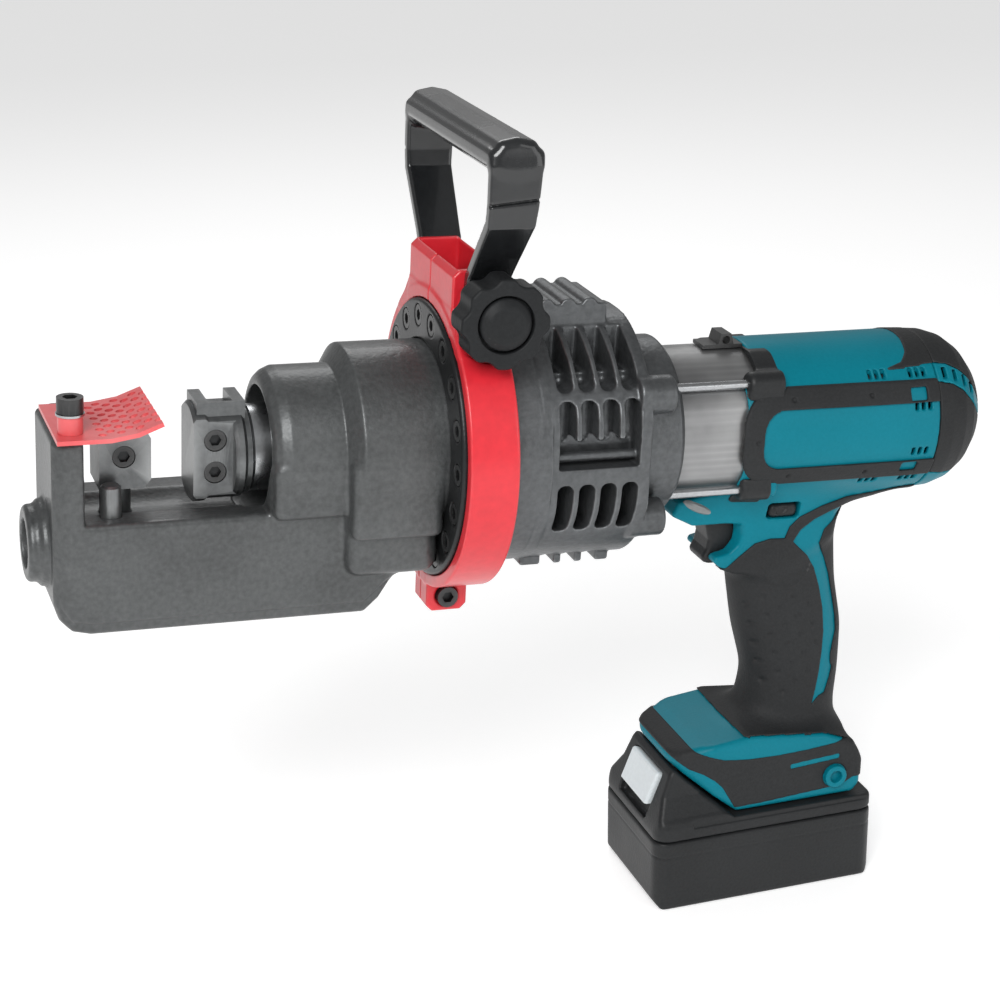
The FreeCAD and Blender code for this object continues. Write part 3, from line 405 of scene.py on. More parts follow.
def yoke_shape():
    """Cast head: girder with its post and keel, the two-step cylinder and the plug's boss."""
    girder = plate("y", [
        (-178, -57), (-175, -63), (-169.5, -67.5), (-160, -69), (-36, -69), (-25, -59), (-17, -54),
        (-2.3, -54), (-2.3, -5), (-80, -5), (-80, -22), (-163, -22), (-163, 17), (-178, 17),
    ], -32, 32, 3.0)
    keel = plate("y", [
        (-178, -50), (-178, -60), (-174.5, -68), (-169, -72.6), (-161, -74.5), (-35, -74.5), (-28, -68),
        (-23, -60), (-18, -54), (-20, -45), (-100, -40),
    ], -29.2, 29.2, 3.5)
    corners = [(-178, -24), (-170, -32), (0, -32), (0, 32), (-170, 32), (-178, 24)]
    front = shared(5.0, merged(1.2, girder, keel), plate("z", corners, -80, 30, 0.5))
    steps = lathe([
        (-80, 0), (-80, 30), (-78.5, 33), (-76, 35.3), (-72, 37), (-47, 37), (-41, 46), (-2.6, 46), (-2.6, 0),
    ], 1.5)
    low_step = brick((-79.5, -36.6, -24.5), (-44, 36.6, 2), 4.0)
    low_barrel = brick((-45.5, -44.5, -34), (-2.8, 44.5, 4), 4.0)
    chest = brick((-46, -38.5, -54), (-2.8, 38.5, 0), 7.0)
    cylinder = shared(0, merged(2.5, steps, low_step, low_barrel), brick((-90, -60, -60), (-2.4, 60, 60), 0))
    barrel = merged(1.5, cylinder, chest)
    boss = bar("x", PLUG, 17.6, -186, -170, 2.5)
    boss_ring = bar("x", PLUG, 19.5, -180, -170, 1.0)
    tail = bar("x", AXIS, 45.9, -6, 21, 0.5)
    solid = merged(3.0, front, barrel, boss, boss_ring)
    trough = bar("x", AXIS, 26.5, -162.6, -70, 0.5)
    upper = brick((-162.8, -40, -5), (-80, 40, 40), 6.0)
    opened = without(merged(0, solid, tail), 1.2, trough, upper)
    bore = merged(0, bar("x", AXIS, 28.5, -90, -69, 0.3), bar("x", AXIS, 20.1, -90, 30, 0.2),
                  bar("x", AXIS, 34.1, -33, 30, 0.2), bar("x", AXIS, 28, -62, -20, 0.2))
    plug_hole = bar("x", PLUG, 11.4, -190, -160, 0.2)
    guard_hole = bar("z", (-168, -23), 4.1, -6, 30, 0.1)
    post_hole = bar("z", (-150, -18.5), 4.7, -33.3, -8, 0.1)
    block_hole = bar("z", (-145, 0), 7.1, -30.2, -20, 0.1)
    return without(opened, 0.4, bore, plug_hole, guard_hole, post_hole, block_hole)


def clamp_shape():
    """Both halves of the split ring, with the handle's block on top and the screw tab below."""
    ring = lathe([(0, 65.1), (0, 71), (23, 71), (23, 65.1)], 0.9)
    top = plate("y", [
        (0.3, 50), (22.5, 50), (22.5, 61.5), (26, 63), (26, 84), (23, 87.5), (3.5, 87.5), (0.3, 84.5),
    ], -33, 33, 1.1)
    flare = plate("x", [(-49, 50), (-33, 70), (33, 70), (49, 50)], 0.3, 22.7, 1.0)
    tab = plate("y", [(1, -55), (21, -55), (21, -82), (18, -85), (4, -85), (1, -82)], -9.5, 9.5, 1.0)
    hollow = brick((3.5, -29.5, 66), (23, 29.5, 99), 1.5)
    arm = both_sides(bar("y", PIVOT, 13.4, -48.4, -33, 0.2))
    scoop = bar("y", PIVOT, 21.4, -80, -47, 0.4)
    bore = bar("x", AXIS, 65.1, -9, 40, 0.1)
    pivot = bar("y", PIVOT, 5.2, -50, 50, 0.1)
    pinch = merged(0, bar("y", PINCH, 5.6, -20, -6.5, 0.2), bar("y", PINCH, 3.2, -20, 20, 0.1))
    solid = merged(2.0, ring, merged(1.0, top, flare), tab)
    return without(solid, 0.6, hollow, arm, scoop, bore, pivot, pinch)


def make_head():
    piece("yoke_casting", yoke_shape(), (-186, -46, -74.5), (21, 46, 46), 0.75,
          "cast_steel", "tool", "cutter_yoke")
    flange = lathe([(-2, 46.3), (-2, 63.8), (-1, 64.8), (21.5, 64.8), (21.5, 46.3)], 0.4)
    seats = []
    for index in range(FLANGE_BOLTS):
        angle = 2 * math.pi * index / FLANGE_BOLTS
        place = (-FLANGE_CIRCLE * math.cos(angle), FLANGE_CIRCLE * math.sin(angle))
        seats.append(bar("x", place, 5.2, -9, 3.3, 0.1))
        seats.append(bar("x", place, 3.3, -9, 40, 0.1))
    piece("flange_ring", without(flange, 0.2, *seats), (-2, -65, -65), (21.5, 65, 65), 0.8,
          "dark_steel", "tool", "head_flange")
    clamp = clamp_shape()
    for name, low, high in (("clamp_half_left", -80, -0.35), ("clamp_half_right", 0.35, 80)):
        half = shared(0.4, clamp, brick((-20, low, -99), (60, high, 99), 0))
        reach = (-73, 0) if low < 0 else (0, 73)
        piece(name + "_cast", half, (0, reach[0], -85), (26, reach[1], 88), 0.75, "red_paint", "tool", name)


# ---- handle and knob -------------------------------------------------------------------------

def near_line(points):
    """Distance to an open line of straight stretches."""
    def distance(u, v):
        best = np.float32(1e9)
        for (ax, ay), (bx, by) in zip(points, points[1:]):
            ex, ey = bx - ax, by - ay
            t = np.clip(((u - ax) * ex + (v - ay) * ey) / (ex * ex + ey * ey), 0, 1)
            best = np.minimum(best, np.hypot(u - ax - ex * t, v - ay - ey * t))
        return best
    return distance


def handle_shape():
    """Flat arms that lean outwards from the bolt, joined by a ten-sided grip bar with rounded edges."""
    px, pz = PIVOT
    top = pz + 73
    bx = px + 2
    line = near_line([(36.4, pz - 9), (36.4, pz + 15), (60.6, pz + 44), (62, pz + 52), (62, top - 4),
                      (60.5, top - 0.5), (56, top), (0, top)])

    def arms(x, y, z):
        rise = z - pz
        half = np.interp(rise, [-12, -6, 0, 18, 40, 60, 73], [5, 9.6, 10.6, 10.2, 10.8, 11.6, 12])
        lean = np.interp(rise, [10, 73], [0, 2])
        return capped(line(np.abs(y), z) - 1.6, np.abs(x - px - lean) - half + 1.3, 1.3)
    grip_bar = plate("y", [
        (bx - 12, top - 4), (bx - 12, top + 2), (bx - 8, top + 7.4), (bx, top + 9), (bx + 8, top + 7.4),
        (bx + 12, top + 2), (bx + 12, top - 4), (bx + 8, top - 7.6), (bx, top - 9), (bx - 8, top - 7.6),
    ], -65, 65, 4.0)
    fold = [(bx - 15, pz + 52), (bx + 15, pz + 55), (bx + 15, pz + 56), (bx - 15, pz + 53)]
    crease = both_sides(plate("y", fold, -67, -63.3, 0.3))
    dents = merged(0, *[bar("z", (bx + 8, y), 1.6, top + 5.5, top + 20, 0.3) for y in (-12, -42)])
    hole = both_sides(bar("y", PIVOT, 5.2, -60, -20, 0.1))
    return without(merged(3.0, arms, grip_bar), 0.5, hole, dents, crease)


def knob_shape():
    """Disc with eight scallops, a hub towards the clamp and a well for the cap."""
    px, pz = PIVOT
    lobe = math.pi / 4

    def shape(x, y, z):
        dx, dz = x - px, z - pz
        fold = np.abs((np.arctan2(dz, dx) + lobe / 2) % lobe - lobe / 2)
        radius = np.hypot(dx, dz)
        scallop = np.hypot(radius * np.cos(fold - lobe / 2) - 24.2, radius * np.sin(fold - lobe / 2)) - 5.8
        outline = -blend(-(radius - 20.5), scallop, 1.6) + 1.4
        disc = capped(outline, np.abs(y + 56.5) - 8.5 + 1.4, 1.4)
        hub = capped(radius - 13 + 0.5, np.abs(y + 44) - 4.3 + 0.5, 0.5)
        well = capped(radius - 12.6, np.abs(y + 70) - 8.6, 0.4)
        hole = capped(radius - 5.2, np.abs(y + 49) - 10, 0.1)
        return -blend(blend(-blend(disc, hub, 1.0), well, 0.8), hole, 0.3)
    return shape


def knob_cap_shape():
    """Shallow dome with a short skirt."""
    px, pz = PIVOT

    def shape(x, y, z):
        out = -(y + 60.8)
        radius = np.hypot(x - px, z - pz)
        ball = np.sqrt(radius ** 2 + (out + 10.0) ** 2) - 18.0
        return -blend(-ball, -capped(radius - 11.6, np.abs(out - 1.5) - 4.5, 0.4), 0.8)
    return shape


def make_handle():
    px, pz = PIVOT
    piece("handle_strap", handle_shape(), (px - 12, -65, pz - 12), (px + 14, 65, pz + 82), 0.75,
          "gloss_black", "handle", "carry_handle")
    piece("knob_lobes", knob_shape(), (px - 21, -65, pz - 21), (px + 21, -39.6, pz + 21), 0.5,
          "knob_plastic", "knob", "handle_knob")
    piece("knob_dome", knob_cap_shape(), (px - 12, -69.5, pz - 12), (px + 12, -57, pz + 12), 0.4,
          "knob_plastic", "knob", "knob_cap")


# ---- pump ------------------------------------------------------------------------------------

def rod_places(circle):
    """Tie-rod places (y, z) of the near side on a circle about the ram axis."""
    return [(-circle * math.cos(math.radians(a)), circle * math.sin(math.radians(a))) for a in ROD_ANGLES]


def make_pump():
    """Finned casting with plates above and below, four screw bosses and the rear flange."""
    shell = lathe([(23, 0), (23, 58.8), (24.5, 60), (37, 60), (38, 58.9), (39, 60), (92, 60), (92, 0)], 0.4)
    trimmed = shared(2.5, shell, brick((22, -57, -56), (93, 57, 60), 0))
    band = lathe([(23, 0), (23, 58.8), (24.5, 60), (42.6, 60), (42.6, 0)], 0.5)
    top = brick((42, -20, 50), (80, 20, 66.4), 1.2)
    bumps = merged(0.5, *[bar("y", (50.5 + FIN_PITCH * i, 65), 4, -20, 20, 1.0) for i in range(3)])
    bottom = brick((42, -24, -59.5), (86.5, 24, -50), 1.2)
    bosses = both_sides(merged(1.5, *[bar("x", place, 9, 86, 104, 1.6) for place in BOSSES]))
    solid = merged(1.5, trimmed, band, merged(0.8, top, bumps), bottom, bosses)
    tools = [lathe([(20, 0), (20, 38), (39, 38), (39, 22), (95, 22), (95, 0)], 0.2)]
    for index in range(4):
        start = FIN_START + FIN_PITCH * index
        end = start + FIN_GAP
        for low, high, depth in ((33, 67, 34), (8, 29.5, 43), (-33, -9, 34)):
            outline = [(start, low), (end, low), (end, high), (start, high)]
            tools.append(both_sides(plate("y", outline, -80, -depth, 3.2)))
        tools.append(both_sides(brick((start, -80, 38), (end, -21.2, 70), 1.6)))
    tools.append(both_sides(brick((FIN_START, -80, -1.5), (85.8, -45, 12.3), 1.2)))
    for index in range(3):
        start, end = 52 + FIN_PITCH * index, 59 + FIN_PITCH * index
        groove = [(start, -75), (start, -52.5), (end, -52.5), (end, -75)]
        tools.append(plate("y", groove, -40, 40, 1.4))
    tools.append(both_sides(merged(0, *[bar("x", place, 5.8, 98.4, 120, 0.2) for place in BOSSES])))
    tools.append(bar("z", (71, 0), 6.05, 15, 38, 0.1))
    window_rail = both_sides(bar("x", (-50.5, 3), 2.2, 43, 86, 0.5))
    cast = merged(0.8, without(solid, 0.9, *tools), shared(0, window_rail, grown(solid, -1.5)))
    piece("pump_casting", cast, (23, -60, -62), (105, 60, 70), 0.75, "cast_aluminium", "tool", "pump_body")
    flange = lathe([
        (92.4, 18), (92.4, 43), (112.6, 43), (115, 40.6), (115, 9.4), (106, 9.4), (106, 18),
    ], 0.9)
    rods = both_sides(merged(0, *[bar("x", place, 2.4, 108, 130, 0.1) for place in rod_places(ROD_CIRCLE)]))
    piece("bearing_flange", without(flange, 0.3, rods), (92, -45, -45), (115, 45, 45), 0.7,
          "cast_aluminium", "tool", "bearing_housing")


# ---- motor housing, grip and foot ------------------------------------------------------------

# Height, middle, depth and width of the grip's cross-sections.
GRIP = [
    (-20, 184, 66, 44), (-34, 184, 60, 42), (-62, 187.5, 54, 39), (-85, 190.5, 53.5, 37),
    (-110, 196, 54.5, 37), (-135, 200.3, 47.5, 37), (-152, 198.8, 48.5, 39), (-168, 195, 60, 44),
    (-180, 193, 70, 50),
]


def grip_shape():
    """Grip with rounded-square sections, smoothed from one to the next."""
    table = np.array(sorted(GRIP))
    fine = np.linspace(-182, -18, 165)
    kernel = np.exp(-np.linspace(-2, 2, 25) ** 2)
    kernel /= kernel.sum()
    smooth = []
    for column in (1, 2, 3):
        row = np.interp(fine, table[:, 0], table[:, column])
        smooth.append(np.convolve(np.pad(row, 12, mode="edge"), kernel, mode="valid"))

    def shape(x, y, z):
        middle, depth, width = (np.interp(z, fine, row).astype(np.float32) for row in smooth)
        p = 2.35
        reach = (np.abs((x - middle) / (depth / 2)) ** p + np.abs(y / (width / 2)) ** p) ** (1 / p)
        body = (reach - 1) * np.minimum(depth, width) / 2 * 0.92
        return np.maximum(body, np.maximum(z + 20, -180 - z))
    return shape


def foot_shape():
    """Foot of the grip that carries the battery, drawn in the battery's frame."""
    side = plate("y", [
        (50, 8.9), (54.5, 14), (55, 27), (49, 38), (33, 44.5), (-8, 49.5), (-32, 47), (-47, 42.5),
        (-49.5, 39), (-43.5, 33), (-15, 8.9),
    ], -33.5, 33.5, 3.5)
    plan = plate("z", [
        (-53, -15), (-44, -26), (-28, -33.5), (55, -33.5), (58, -20), (58, 20), (55, 33.5), (-28, 33.5),
        (-44, 26), (-53, 15),
    ], 0, 80, 4.0)
    return on_battery(shared(5.0, side, plan))


def skin_shape():
    """Outside of the housing: motor barrel, trigger box, grip and foot in one."""
    barrel = lathe([(149, 0), (149, 38.6), (152, 39.6), (235, 40), (250, 39.4), (250, 0)], 0.5)
    barrel = without(barrel, 0.6, brick((140, -60, 24), (157, 60, 60), 0.8))
    ears = both_sides(merged(0, *[bar("x", place, 5.2, 150, 168, 2.0) for place in rod_places(EAR_CIRCLE)]))
    trigger_box = plate("y", [
        (121.5, -43), (124.5, -36.5), (150, -31), (212, -25), (206, -57), (176, -75.4), (156, -74.4),
        (149, -71.6), (145.4, -68.6), (146.4, -66.2), (153.6, -64.6), (158.2, -60.4), (160.4, -54.8),
        (159.9, -48.8), (133, -48.8),
    ], -17.6, 17.6, 1.6)
    flank = plate("y", [(150, -20), (247, -22), (228, -37), (206, -45), (160, -42)], -19, 19, 5.0)
    upper = merged(9.0, merged(3.0, barrel, ears), merged(5.0, trigger_box, flank))
    return merged(10.0, merged(9.0, upper, grip_shape()), foot_shape())


def vent_slots():
    """Six groups of three short slots on each side of the barrel."""
    vents = []
    for x, z in ((218, 27), (240, 27), (241, 12.6), (241, -10), (218, -25), (240, -25.5)):
        for middle in (x - 3.6, x, x + 3.6):
            vents.append(both_sides(brick((middle - 1.1, -60, z - 2.0), (middle + 1.1, -26, z + 2.0), 0.7)))
    return merged(0, *vents)


def dimpled(skin):
    """Grip rubber with rows of dimples and a raised ring where the thumb rests."""
    dots = []
    for row in range(-8, 12):
        for place in range(-6, 12):
            x = 174.4 + 9.2 * row + 2.9 * place
            z = -89.5 - 5.0 * row - 10.4 * place
            rear_edge = np.interp(z, [-150, -140, -120, -100, -86], [206, 207, 208, 207, 203]) - 2.5
            if -146 < z < -88 and 163 < x < rear_edge:
                dots.append((x, z))

    def shape(x, y, z):
        dent = 0
        for dx, dz in dots:
            dent = dent + np.exp(-((x - dx) ** 2 + (z - dz) ** 2) / 1.9)
        thumb = np.hypot(x - 184.5, (z + 69.8) / 1.12) - 12.6
        mark = np.exp(-(thumb / 0.55) ** 2) * np.clip((-z - 68) / 6, 0, 1)
        return grown(skin, 0.95)(x, y, z) + 0.8 * dent - 0.28 * mark
    return shape


def make_housing():
    """Teal shell with its rubber overmoulds, laid on the same skin."""
    skin = skin_shape()
    core = grown(skin, -2.2)
    motor_room = bar("x", AXIS, 36.6, 140, 251, 0.2)
    gear_room = bar("x", AXIS, 37.3, 110, 165.5, 0.2)
    trigger_room = brick((144, -9.8, -77.6), (172.5, 9.8, -48.4), 1.2)
    switch_room = brick((172, -10.5, -79), (207, 10.5, -50), 0.5)
    rail_room = on_battery(brick((-80, -18.6, -5), (46, 18.6, 15.2), 0.8))
    release_slot = [(170.3, -46.5), (170.3, -37.7), (187.3, -37.7), (187.3, -46.5)]
    release_room = plate("y", release_slot, -40, 40, 2.0)
    vents = vent_slots()
    shell = without(skin, 0.6, motor_room, gear_room, trigger_room, switch_room, rail_room, release_room)
    piece("housing_shell", without(shell, 0.3, vents), (121, -44, -204), (252, 44, 45), 0.85,
          "teal_plastic", "tool", "housing_left", "housing_right")
    front = region([
        (100, -72.4), (151.6, -72.4), (154, -70.5), (159.8, -65.3), (166, -59.5), (173.5, -57), (181, -57),
        (183, -51), (188, -46), (199, -41), (212, -37.5), (236, -35), (252, -34), (252, -37.5), (235, -38.6),
        (218, -41), (206, -44), (196, -48), (189, -53), (185.5, -59), (194.7, -67.5), (199.9, -75),
        (204.2, -85.6), (207.5, -97.7), (209.1, -109.9), (209.1, -121.9), (208.2, -134), (206.7, -143.6),
        (205.2, -150), (212, -147), (240, -160), (246, -166), (222, -166), (211.8, -164), (199.7, -161),
        (184.9, -160.8), (174.6, -160.5), (164.3, -158.8), (151.7, -153.9), (145, -147), (142, -141),
        (146.3, -136), (100, -130),
    ])
    piece("grip_rubber_front",
          without(shared(0.5, dimpled(skin), front), 0.3, core, trigger_room, switch_room),
          (140, -30, -172), (252, 30, -30), 0.7, "grip_rubber", "tool", "grip_overmould")
    back = region([
        (205.2, -150), (209.5, -146), (213.4, -144.9), (216, -137.8), (217.5, -132.2), (216, -129.6),
        (215.5, -124.7), (216.9, -118.3), (218.5, -112.8), (217.6, -104.7), (214.9, -94), (211.2, -81.8),
        (205.9, -70.3), (200.6, -61.6), (202.6, -54.4), (210, -48), (219.3, -44), (228.9, -42.4),
        (248, -41), (262, -40), (262, -160), (215, -160),
    ])
    piece("grip_rubber_back", without(shared(0.5, grown(skin, 0.9), back), 0.3, core),
          (196, -30, -168), (252, 30, -38), 0.75, "grip_rubber", "tool")
    lower = region([
        (90, -141), (118, -143), (116.9, -146), (120.4, -152.5), (127.8, -159), (139.3, -165.4),
        (153.7, -169.6), (167, -170.5), (184.3, -169.9), (199.7, -168.5), (214, -166.5), (224, -164),
        (250, -160), (262, -186), (226.4, -186.5), (219.7, -190.5), (206.2, -192), (175.5, -195.5),
        (161, -196.6), (153.2, -184.5), (149, -180.6), (143, -177), (136, -174.6), (125.6, -167.5),
        (115.6, -157.6), (104, -147),
    ])
    slot = [(190.2, -178.4), (217.4, -175.2), (217.4, -172.6), (190.2, -175.8)]
    grooves = both_sides(merged(0, plate("y", slot, -60, -28, 0.9), bar("y", FOOT_SCREW, 6.4, -60, -20, 0.3)))
    piece("foot_rubber", without(shared(0.5, grown(skin, 0.7), lower), 0.3, core, grooves, rail_room),
          (112, -35, -204), (246, 35, -140), 0.75, "grip_rubber", "tool")
    eye = without(bar("y", FOOT_SCREW, 5.9, -35.2, -30, 0.6), 0.3, bar("y", FOOT_SCREW, 3.3, -60, -31, 0.3))
    piece("foot_screw_ring", both_sides(eye), (209, -35, -192), (222, 35, -178), 0.5, "teal_plastic", "tool")
    brackets = merged(0, region([(149, 19.5), (167, 19.5), (167, 38), (149, 38)], 1.6),
                      region([(149, -36), (164, -36), (164, -20), (149, -20)], 1.6))
    piece("strap_brackets",
          without(shared(0.5, grown(skin, 1.1), brackets), 0.3, core, motor_room, gear_room),
          (148, -44, -38), (169, 44, 40), 0.7, "black_plastic", "tool")
    patch = region([
        (236, 60), (239, 45), (239.5, 39), (237.5, 35), (233, 31.5), (224, 28.8), (251, 30.5), (262, 60),
    ])
    before_cap = brick((60, -60, -60), (250.2, 60, 60), 0)
    piece("barrel_rubber",
          without(shared(0.4, grown(skin, 0.6), shared(0, patch, before_cap)), 0.2, core, vents, motor_room),
          (222, -44, 26), (250.3, 44, 44), 0.7, "grip_rubber", "tool")


def make_straps():
    """Rubber frame around the teal panel on each side of the barrel."""
    barrel = lathe([(145, 0), (145, 38.8), (149, 39.6), (235, 40), (250, 39.4), (250, 0)], 0.5)
    outer = region([(145.8, 24.5), (300, 24.5), (300, -24), (145.8, -24)], 19)
    inner = region([(156.2, 14.6), (300, 14.6), (300, -14.8), (156.2, -14.8)], 11)
    windows = merged(0, brick((234, -60, 15.4), (243, 60, 21.4), 1.0),
                     brick((232, -60, -20.6), (241, 60, -15.6), 1.0))
    places = ((172, 19), (213, 19), (153, 0), (172, -19), (213, -19.5))
    pins = merged(0, *[bar("y", place, 1.1, -60, 60, 0.1) for place in places])
    pin_marks = without(pins, 0, bar("x", AXIS, 40.3, 100, 300, 0))
    band = without(shared(0.8, grown(barrel, 1.5), outer), 0.5, inner, windows)
    band = without(band, 0.2, pin_marks, bar("x", AXIS, 38.9, 140, 262, 0.1))
    for name, low, high in (("side_strap_left", -60, 0), ("side_strap_right", 0, 60)):
        half = shared(0, band, brick((100, low, -60), (249.9, high, 60), 0))
        reach = (-43, -20) if low < 0 else (20, 43)
        piece(name + "_band", half, (144, reach[0], -26), (250, reach[1], 26), 0.7,
              "grip_rubber", "tool", name)


def make_cap():
    """Domed rear cap: rubber with a teal band that sweeps down and back on each side."""
    dome = lathe([
        (250.4, 0), (250.4, 39.8), (258, 39.3), (266, 36.8), (273, 32), (279, 25), (283, 16.5), (285, 8),
        (285, 0),
    ], 0.8)
    hollow = lathe([
        (245, 0), (245, 36.3), (258, 35.8), (264, 33.6), (270.5, 29), (276, 22), (279.5, 14), (281.5, 6),
        (281.5, 0),
    ], 0.3)

    def vents(x, y, z):
        best = np.float32(1e9)
        for px, pz in ((255, 26), (261, 24.4), (266.6, 21.6), (271.4, 17.6)):
            slot = np.maximum(np.abs(x - px) - 1.2, np.abs(z - pz) - 2.3)
            best = np.minimum(best, np.maximum(slot, 20 - np.abs(y)))
        return best
    sweep = region([
        (250, 30.2), (257, 29.6), (264, 26.6), (270, 22.2), (276, 14), (281, 4), (290, -8), (290, -14),
        (283, -2), (277.5, 4.5), (271, 12), (265, 17.8), (258.5, 21.4), (250, 23),
    ], 0.8)
    below = region([
        (250, -23.5), (258, -25), (268, -26), (277, -20), (283, -12), (292, -12), (292, -60), (250, -60),
    ], 0.8)
    painted = merged(0, sweep, below)

    def plain(x, y, z):
        return 0.15 - painted(x, y, z)
    for name, part, slot, nodes in (("cap_rubber", plain, "grip_rubber", ["rear_cap"]),
                                    ("cap_band", painted, "teal_plastic", [])):
        piece(name, without(shared(0.3, dome, part), 0.2, hollow, vents), (250, -41, -41), (286, 41, 41), 0.7,
              slot, "tool", *nodes)


def make_controls():
    """Trigger, release switch and lamp window."""
    blade = plate("y", [
        (143.6, -49), (144.4, -54), (146, -60), (145.2, -65), (143.2, -69), (143.8, -71.6), (147, -72.6),
        (163, -72.6), (163, -49),
    ], -9.3, 9.3, 2.2)
    piece("trigger_blade", blade, (137, -9.5, -76), (163, 9.5, -48), 0.5,
          "black_plastic", "trigger_body", "trigger")
    rocker = plate("y", [(171.2, -45.9), (171.2, -38.7), (186.4, -38.7), (186.4, -45.9)], -21.9, 21.9, 3.0)
    dish = plate("y", [(174.4, -44), (176, -40.4), (181.4, -40.4), (178.6, -44.2)], -30, -21.1, 0.8)
    piece("release_bar", without(rocker, 0.5, dish), (170.5, -22.4, -47), (187.5, 22.4, -38), 0.4,
          "black_plastic", "release", "release_switch")
    c, s = math.cos(0.42), math.sin(0.42)

    def lens(x, y, z):
        dx, dz = x - 134.8, z + 39.3
        along, across = (dx * c - dz * s) / 8.6, (dx * s + dz * c) / 2.6
        return (np.sqrt(along ** 2 + across ** 2 + ((np.abs(y) - 16.6) / 2.2) ** 2) - 1) * 1.8
    piece("lamp_window", lens, (124, -19.2, -46), (145, 19.2, -33), 0.4, "lens_glass", "tool", "lamp_lens")


# ---- battery ---------------------------------------------------------------------------------

def tilted(low, high, soft):
    """Box in the frame of the button's sloping face: X down the slope, Z out of it."""
    base = brick(low, high, soft)
    down = Vector((-12.5, -30.5)).normalized()

    def shape(x, y, z):
        dx, dz = x + 54.25, z - 19.25
        return base(dx * down.x + dz * down.y, y, dx * down.y - dz * down.x)
    return shape


def make_battery():
    """Case, stepped lid with the rail tower, and the button, all in the battery's frame."""
    half = BATTERY_HALF
    plan = plate("z", [(-60.5, -half), (60.5, -half), (60.5, half), (-60.5, half)], -60, 60, 9.0)
    case = plate("y", [
        (-60.5, -33), (-57, -37.5), (57, -37.5), (60.5, -33), (60.5, -0.1), (-60.5, -0.1),
    ], -half, half, 2.4)
    inside = shared(0, grown(plan, -0.5), brick((-70, -50, -60), (70, 50, 60), 0))
    seam = without(brick((-70, -50, -8.4), (70, 50, -7.8), 0.1), 0, inside)
    cell_room = brick((-52, -32, -32), (52, 32, 5), 1.0)
    body = without(shared(1.0, case, plan), 0.4, seam, cell_room)
    piece("battery_shell", on_battery(body), (112, -38, -250), (244, 38, -200), 0.75,
          "black_plastic", "battery", "battery_case")
    lid = plate("y", [
        (-60.4, 0.1), (-60.4, 4), (-49.2, 31.6), (-47.2, 34.3), (-45, 33.4), (-40.6, 28.8), (-17.2, 8),
        (60.8, 8), (60.8, 0.1),
    ], -half, half, 1.4)
    waist = plate("x", [
        (-half, -1), (-half, 7.5), (-33.5, 12), (-27.5, 21), (-24.6, 40), (24.6, 40), (27.5, 21),
        (33.5, 12), (half, 7.5), (half, -1),
    ], -62, 62, 1.5)
    tower = brick((-10, -17.8, 5), (44, 17.8, 14.2), 0.8)
    top = merged(0.5, shared(2.5, lid, waist, plan), tower)
    edge_step = both_sides(brick((-40, -50, 5.9), (62, -35.4, 20), 0.6))
    pocket = tilted((-11.6, -17.6, -4.2), (14.2, 17.6, 9), 2.0)
    lid_room = brick((-52, -32, -2), (52, 32, 4), 0.5)
    piece("battery_lid", on_battery(without(top, 0.8, pocket, edge_step, lid_room)),
          (112, -38, -212), (244, 38, -166), 0.7, "black_plastic", "battery", "battery_top")
    key = tilted((-11, -16.9, -3.4), (10.6, 16.9, 2.3), 1.6)
    piece("battery_key", on_battery(key), (110, -18, -196), (136, 18, -168), 0.5,
          "button_plastic", "button", "battery_button")


# ---- stage -----------------------------------------------------------------------------------

def look_at_photo_angle():
    """Camera at the reference view: azimuth 19.6 degrees to the front left, 19.5 above."""
    azimuth, elevation, roll = (math.radians(a) for a in (19.62, 19.49, -2.74))
    back = Vector((-math.sin(azimuth) * math.cos(elevation),
                   -math.cos(azimuth) * math.cos(elevation), math.sin(elevation)))
    right = (-back).cross(Vector((0, 0, 1))).normalized()
    up = back.cross(right)
    c, s = math.cos(roll), math.sin(roll)
    right, up = c * right - s * up, s * right + c * up
    turn = Matrix((right, up, back)).transposed()
    data = bpy.data.cameras.new("camera")
    data.lens = 84.5
    data.sensor_width = 36.0
    data.clip_start = 0.05
    data.clip_end = 20.0
    cam = bpy.data.objects.new("camera", data)
    place = Vector((-315.7 + SEAT, -995.3, 339.5)) * MM
    cam.matrix_world = Matrix.Translation(place) @ turn.to_4x4()
    bpy.context.collection.objects.link(cam)
    bpy.context.scene.camera = cam


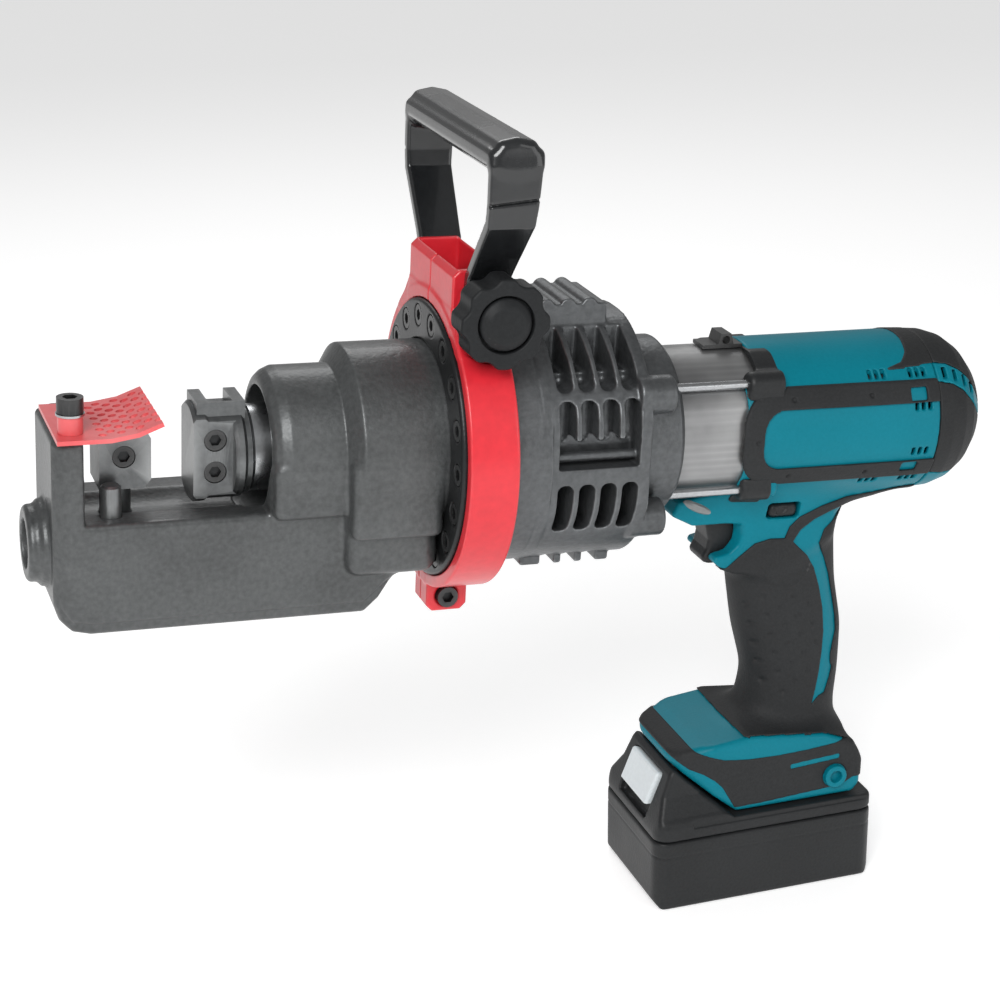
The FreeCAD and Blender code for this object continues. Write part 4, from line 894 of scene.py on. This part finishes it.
def area_light(name, place, target, width, watts):
    """Soft light aimed at a target."""
    data = bpy.data.lights.new(name, "AREA")
    data.shape = "RECTANGLE"
    data.size = width[0]
    data.size_y = width[1]
    data.energy = watts
    lamp = bpy.data.objects.new(name, data)
    aim = Vector(target) - Vector(place)
    turn = aim.to_track_quat("-Z", "Y").to_matrix().to_4x4()
    lamp.matrix_world = Matrix.Translation(Vector(place)) @ turn
    bpy.context.collection.objects.link(lamp)


def build_stage():
    """Pale floor under the battery's sloping base, even world light and three soft lamps."""
    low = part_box("battery_case")[0]
    mesh = bpy.data.meshes.new("floor")
    half = 6.0
    corners = [(-half, -half, 0), (half, -half, 0), (half, half, 0), (-half, half, 0)]
    mesh.from_pydata(corners, [], [(0, 1, 2, 3)])
    floor = bpy.data.objects.new("floor", mesh)
    bpy.context.collection.objects.link(floor)
    floor.matrix_world = (Matrix.Translation((low[0], 0, low[2] - 0.0004))
                          @ Matrix.Rotation(-PITCH, 4, "Y"))
    pale = bpy.data.materials.new("floor_pale")
    pale.use_nodes = True
    shader = pale.node_tree.nodes["Principled BSDF"]
    shader.inputs["Base Color"].default_value = (0.86, 0.86, 0.86, 1)
    shader.inputs["Roughness"].default_value = 0.9
    shader.inputs["Emission Color"].default_value = (1, 1, 1, 1)
    shader.inputs["Emission Strength"].default_value = 0.44
    mesh.materials.append(pale)
    world = bpy.data.worlds.new("studio")
    world.use_nodes = True
    sky = world.node_tree.nodes["Background"]
    sky.inputs["Color"].default_value = (1, 1, 1, 1)
    sky.inputs["Strength"].default_value = 0.31
    bpy.context.scene.world = world
    centre = (0.17, 0.0, -0.02)
    area_light("key", (-0.75, -1.4, 1.15), centre, (0.9, 0.9), 30)
    area_light("fill", (1.2, -1.3, 0.45), centre, (1.0, 1.0), 5)
    area_light("rim", (0.3, 1.3, 1.1), centre, (1.2, 0.6), 7)
    bpy.context.scene.view_settings.view_transform = "Standard"


make_head()
make_handle()
make_pump()
make_housing()
make_straps()
make_cap()
make_controls()
make_battery()
look_at_photo_angle()
build_stage()
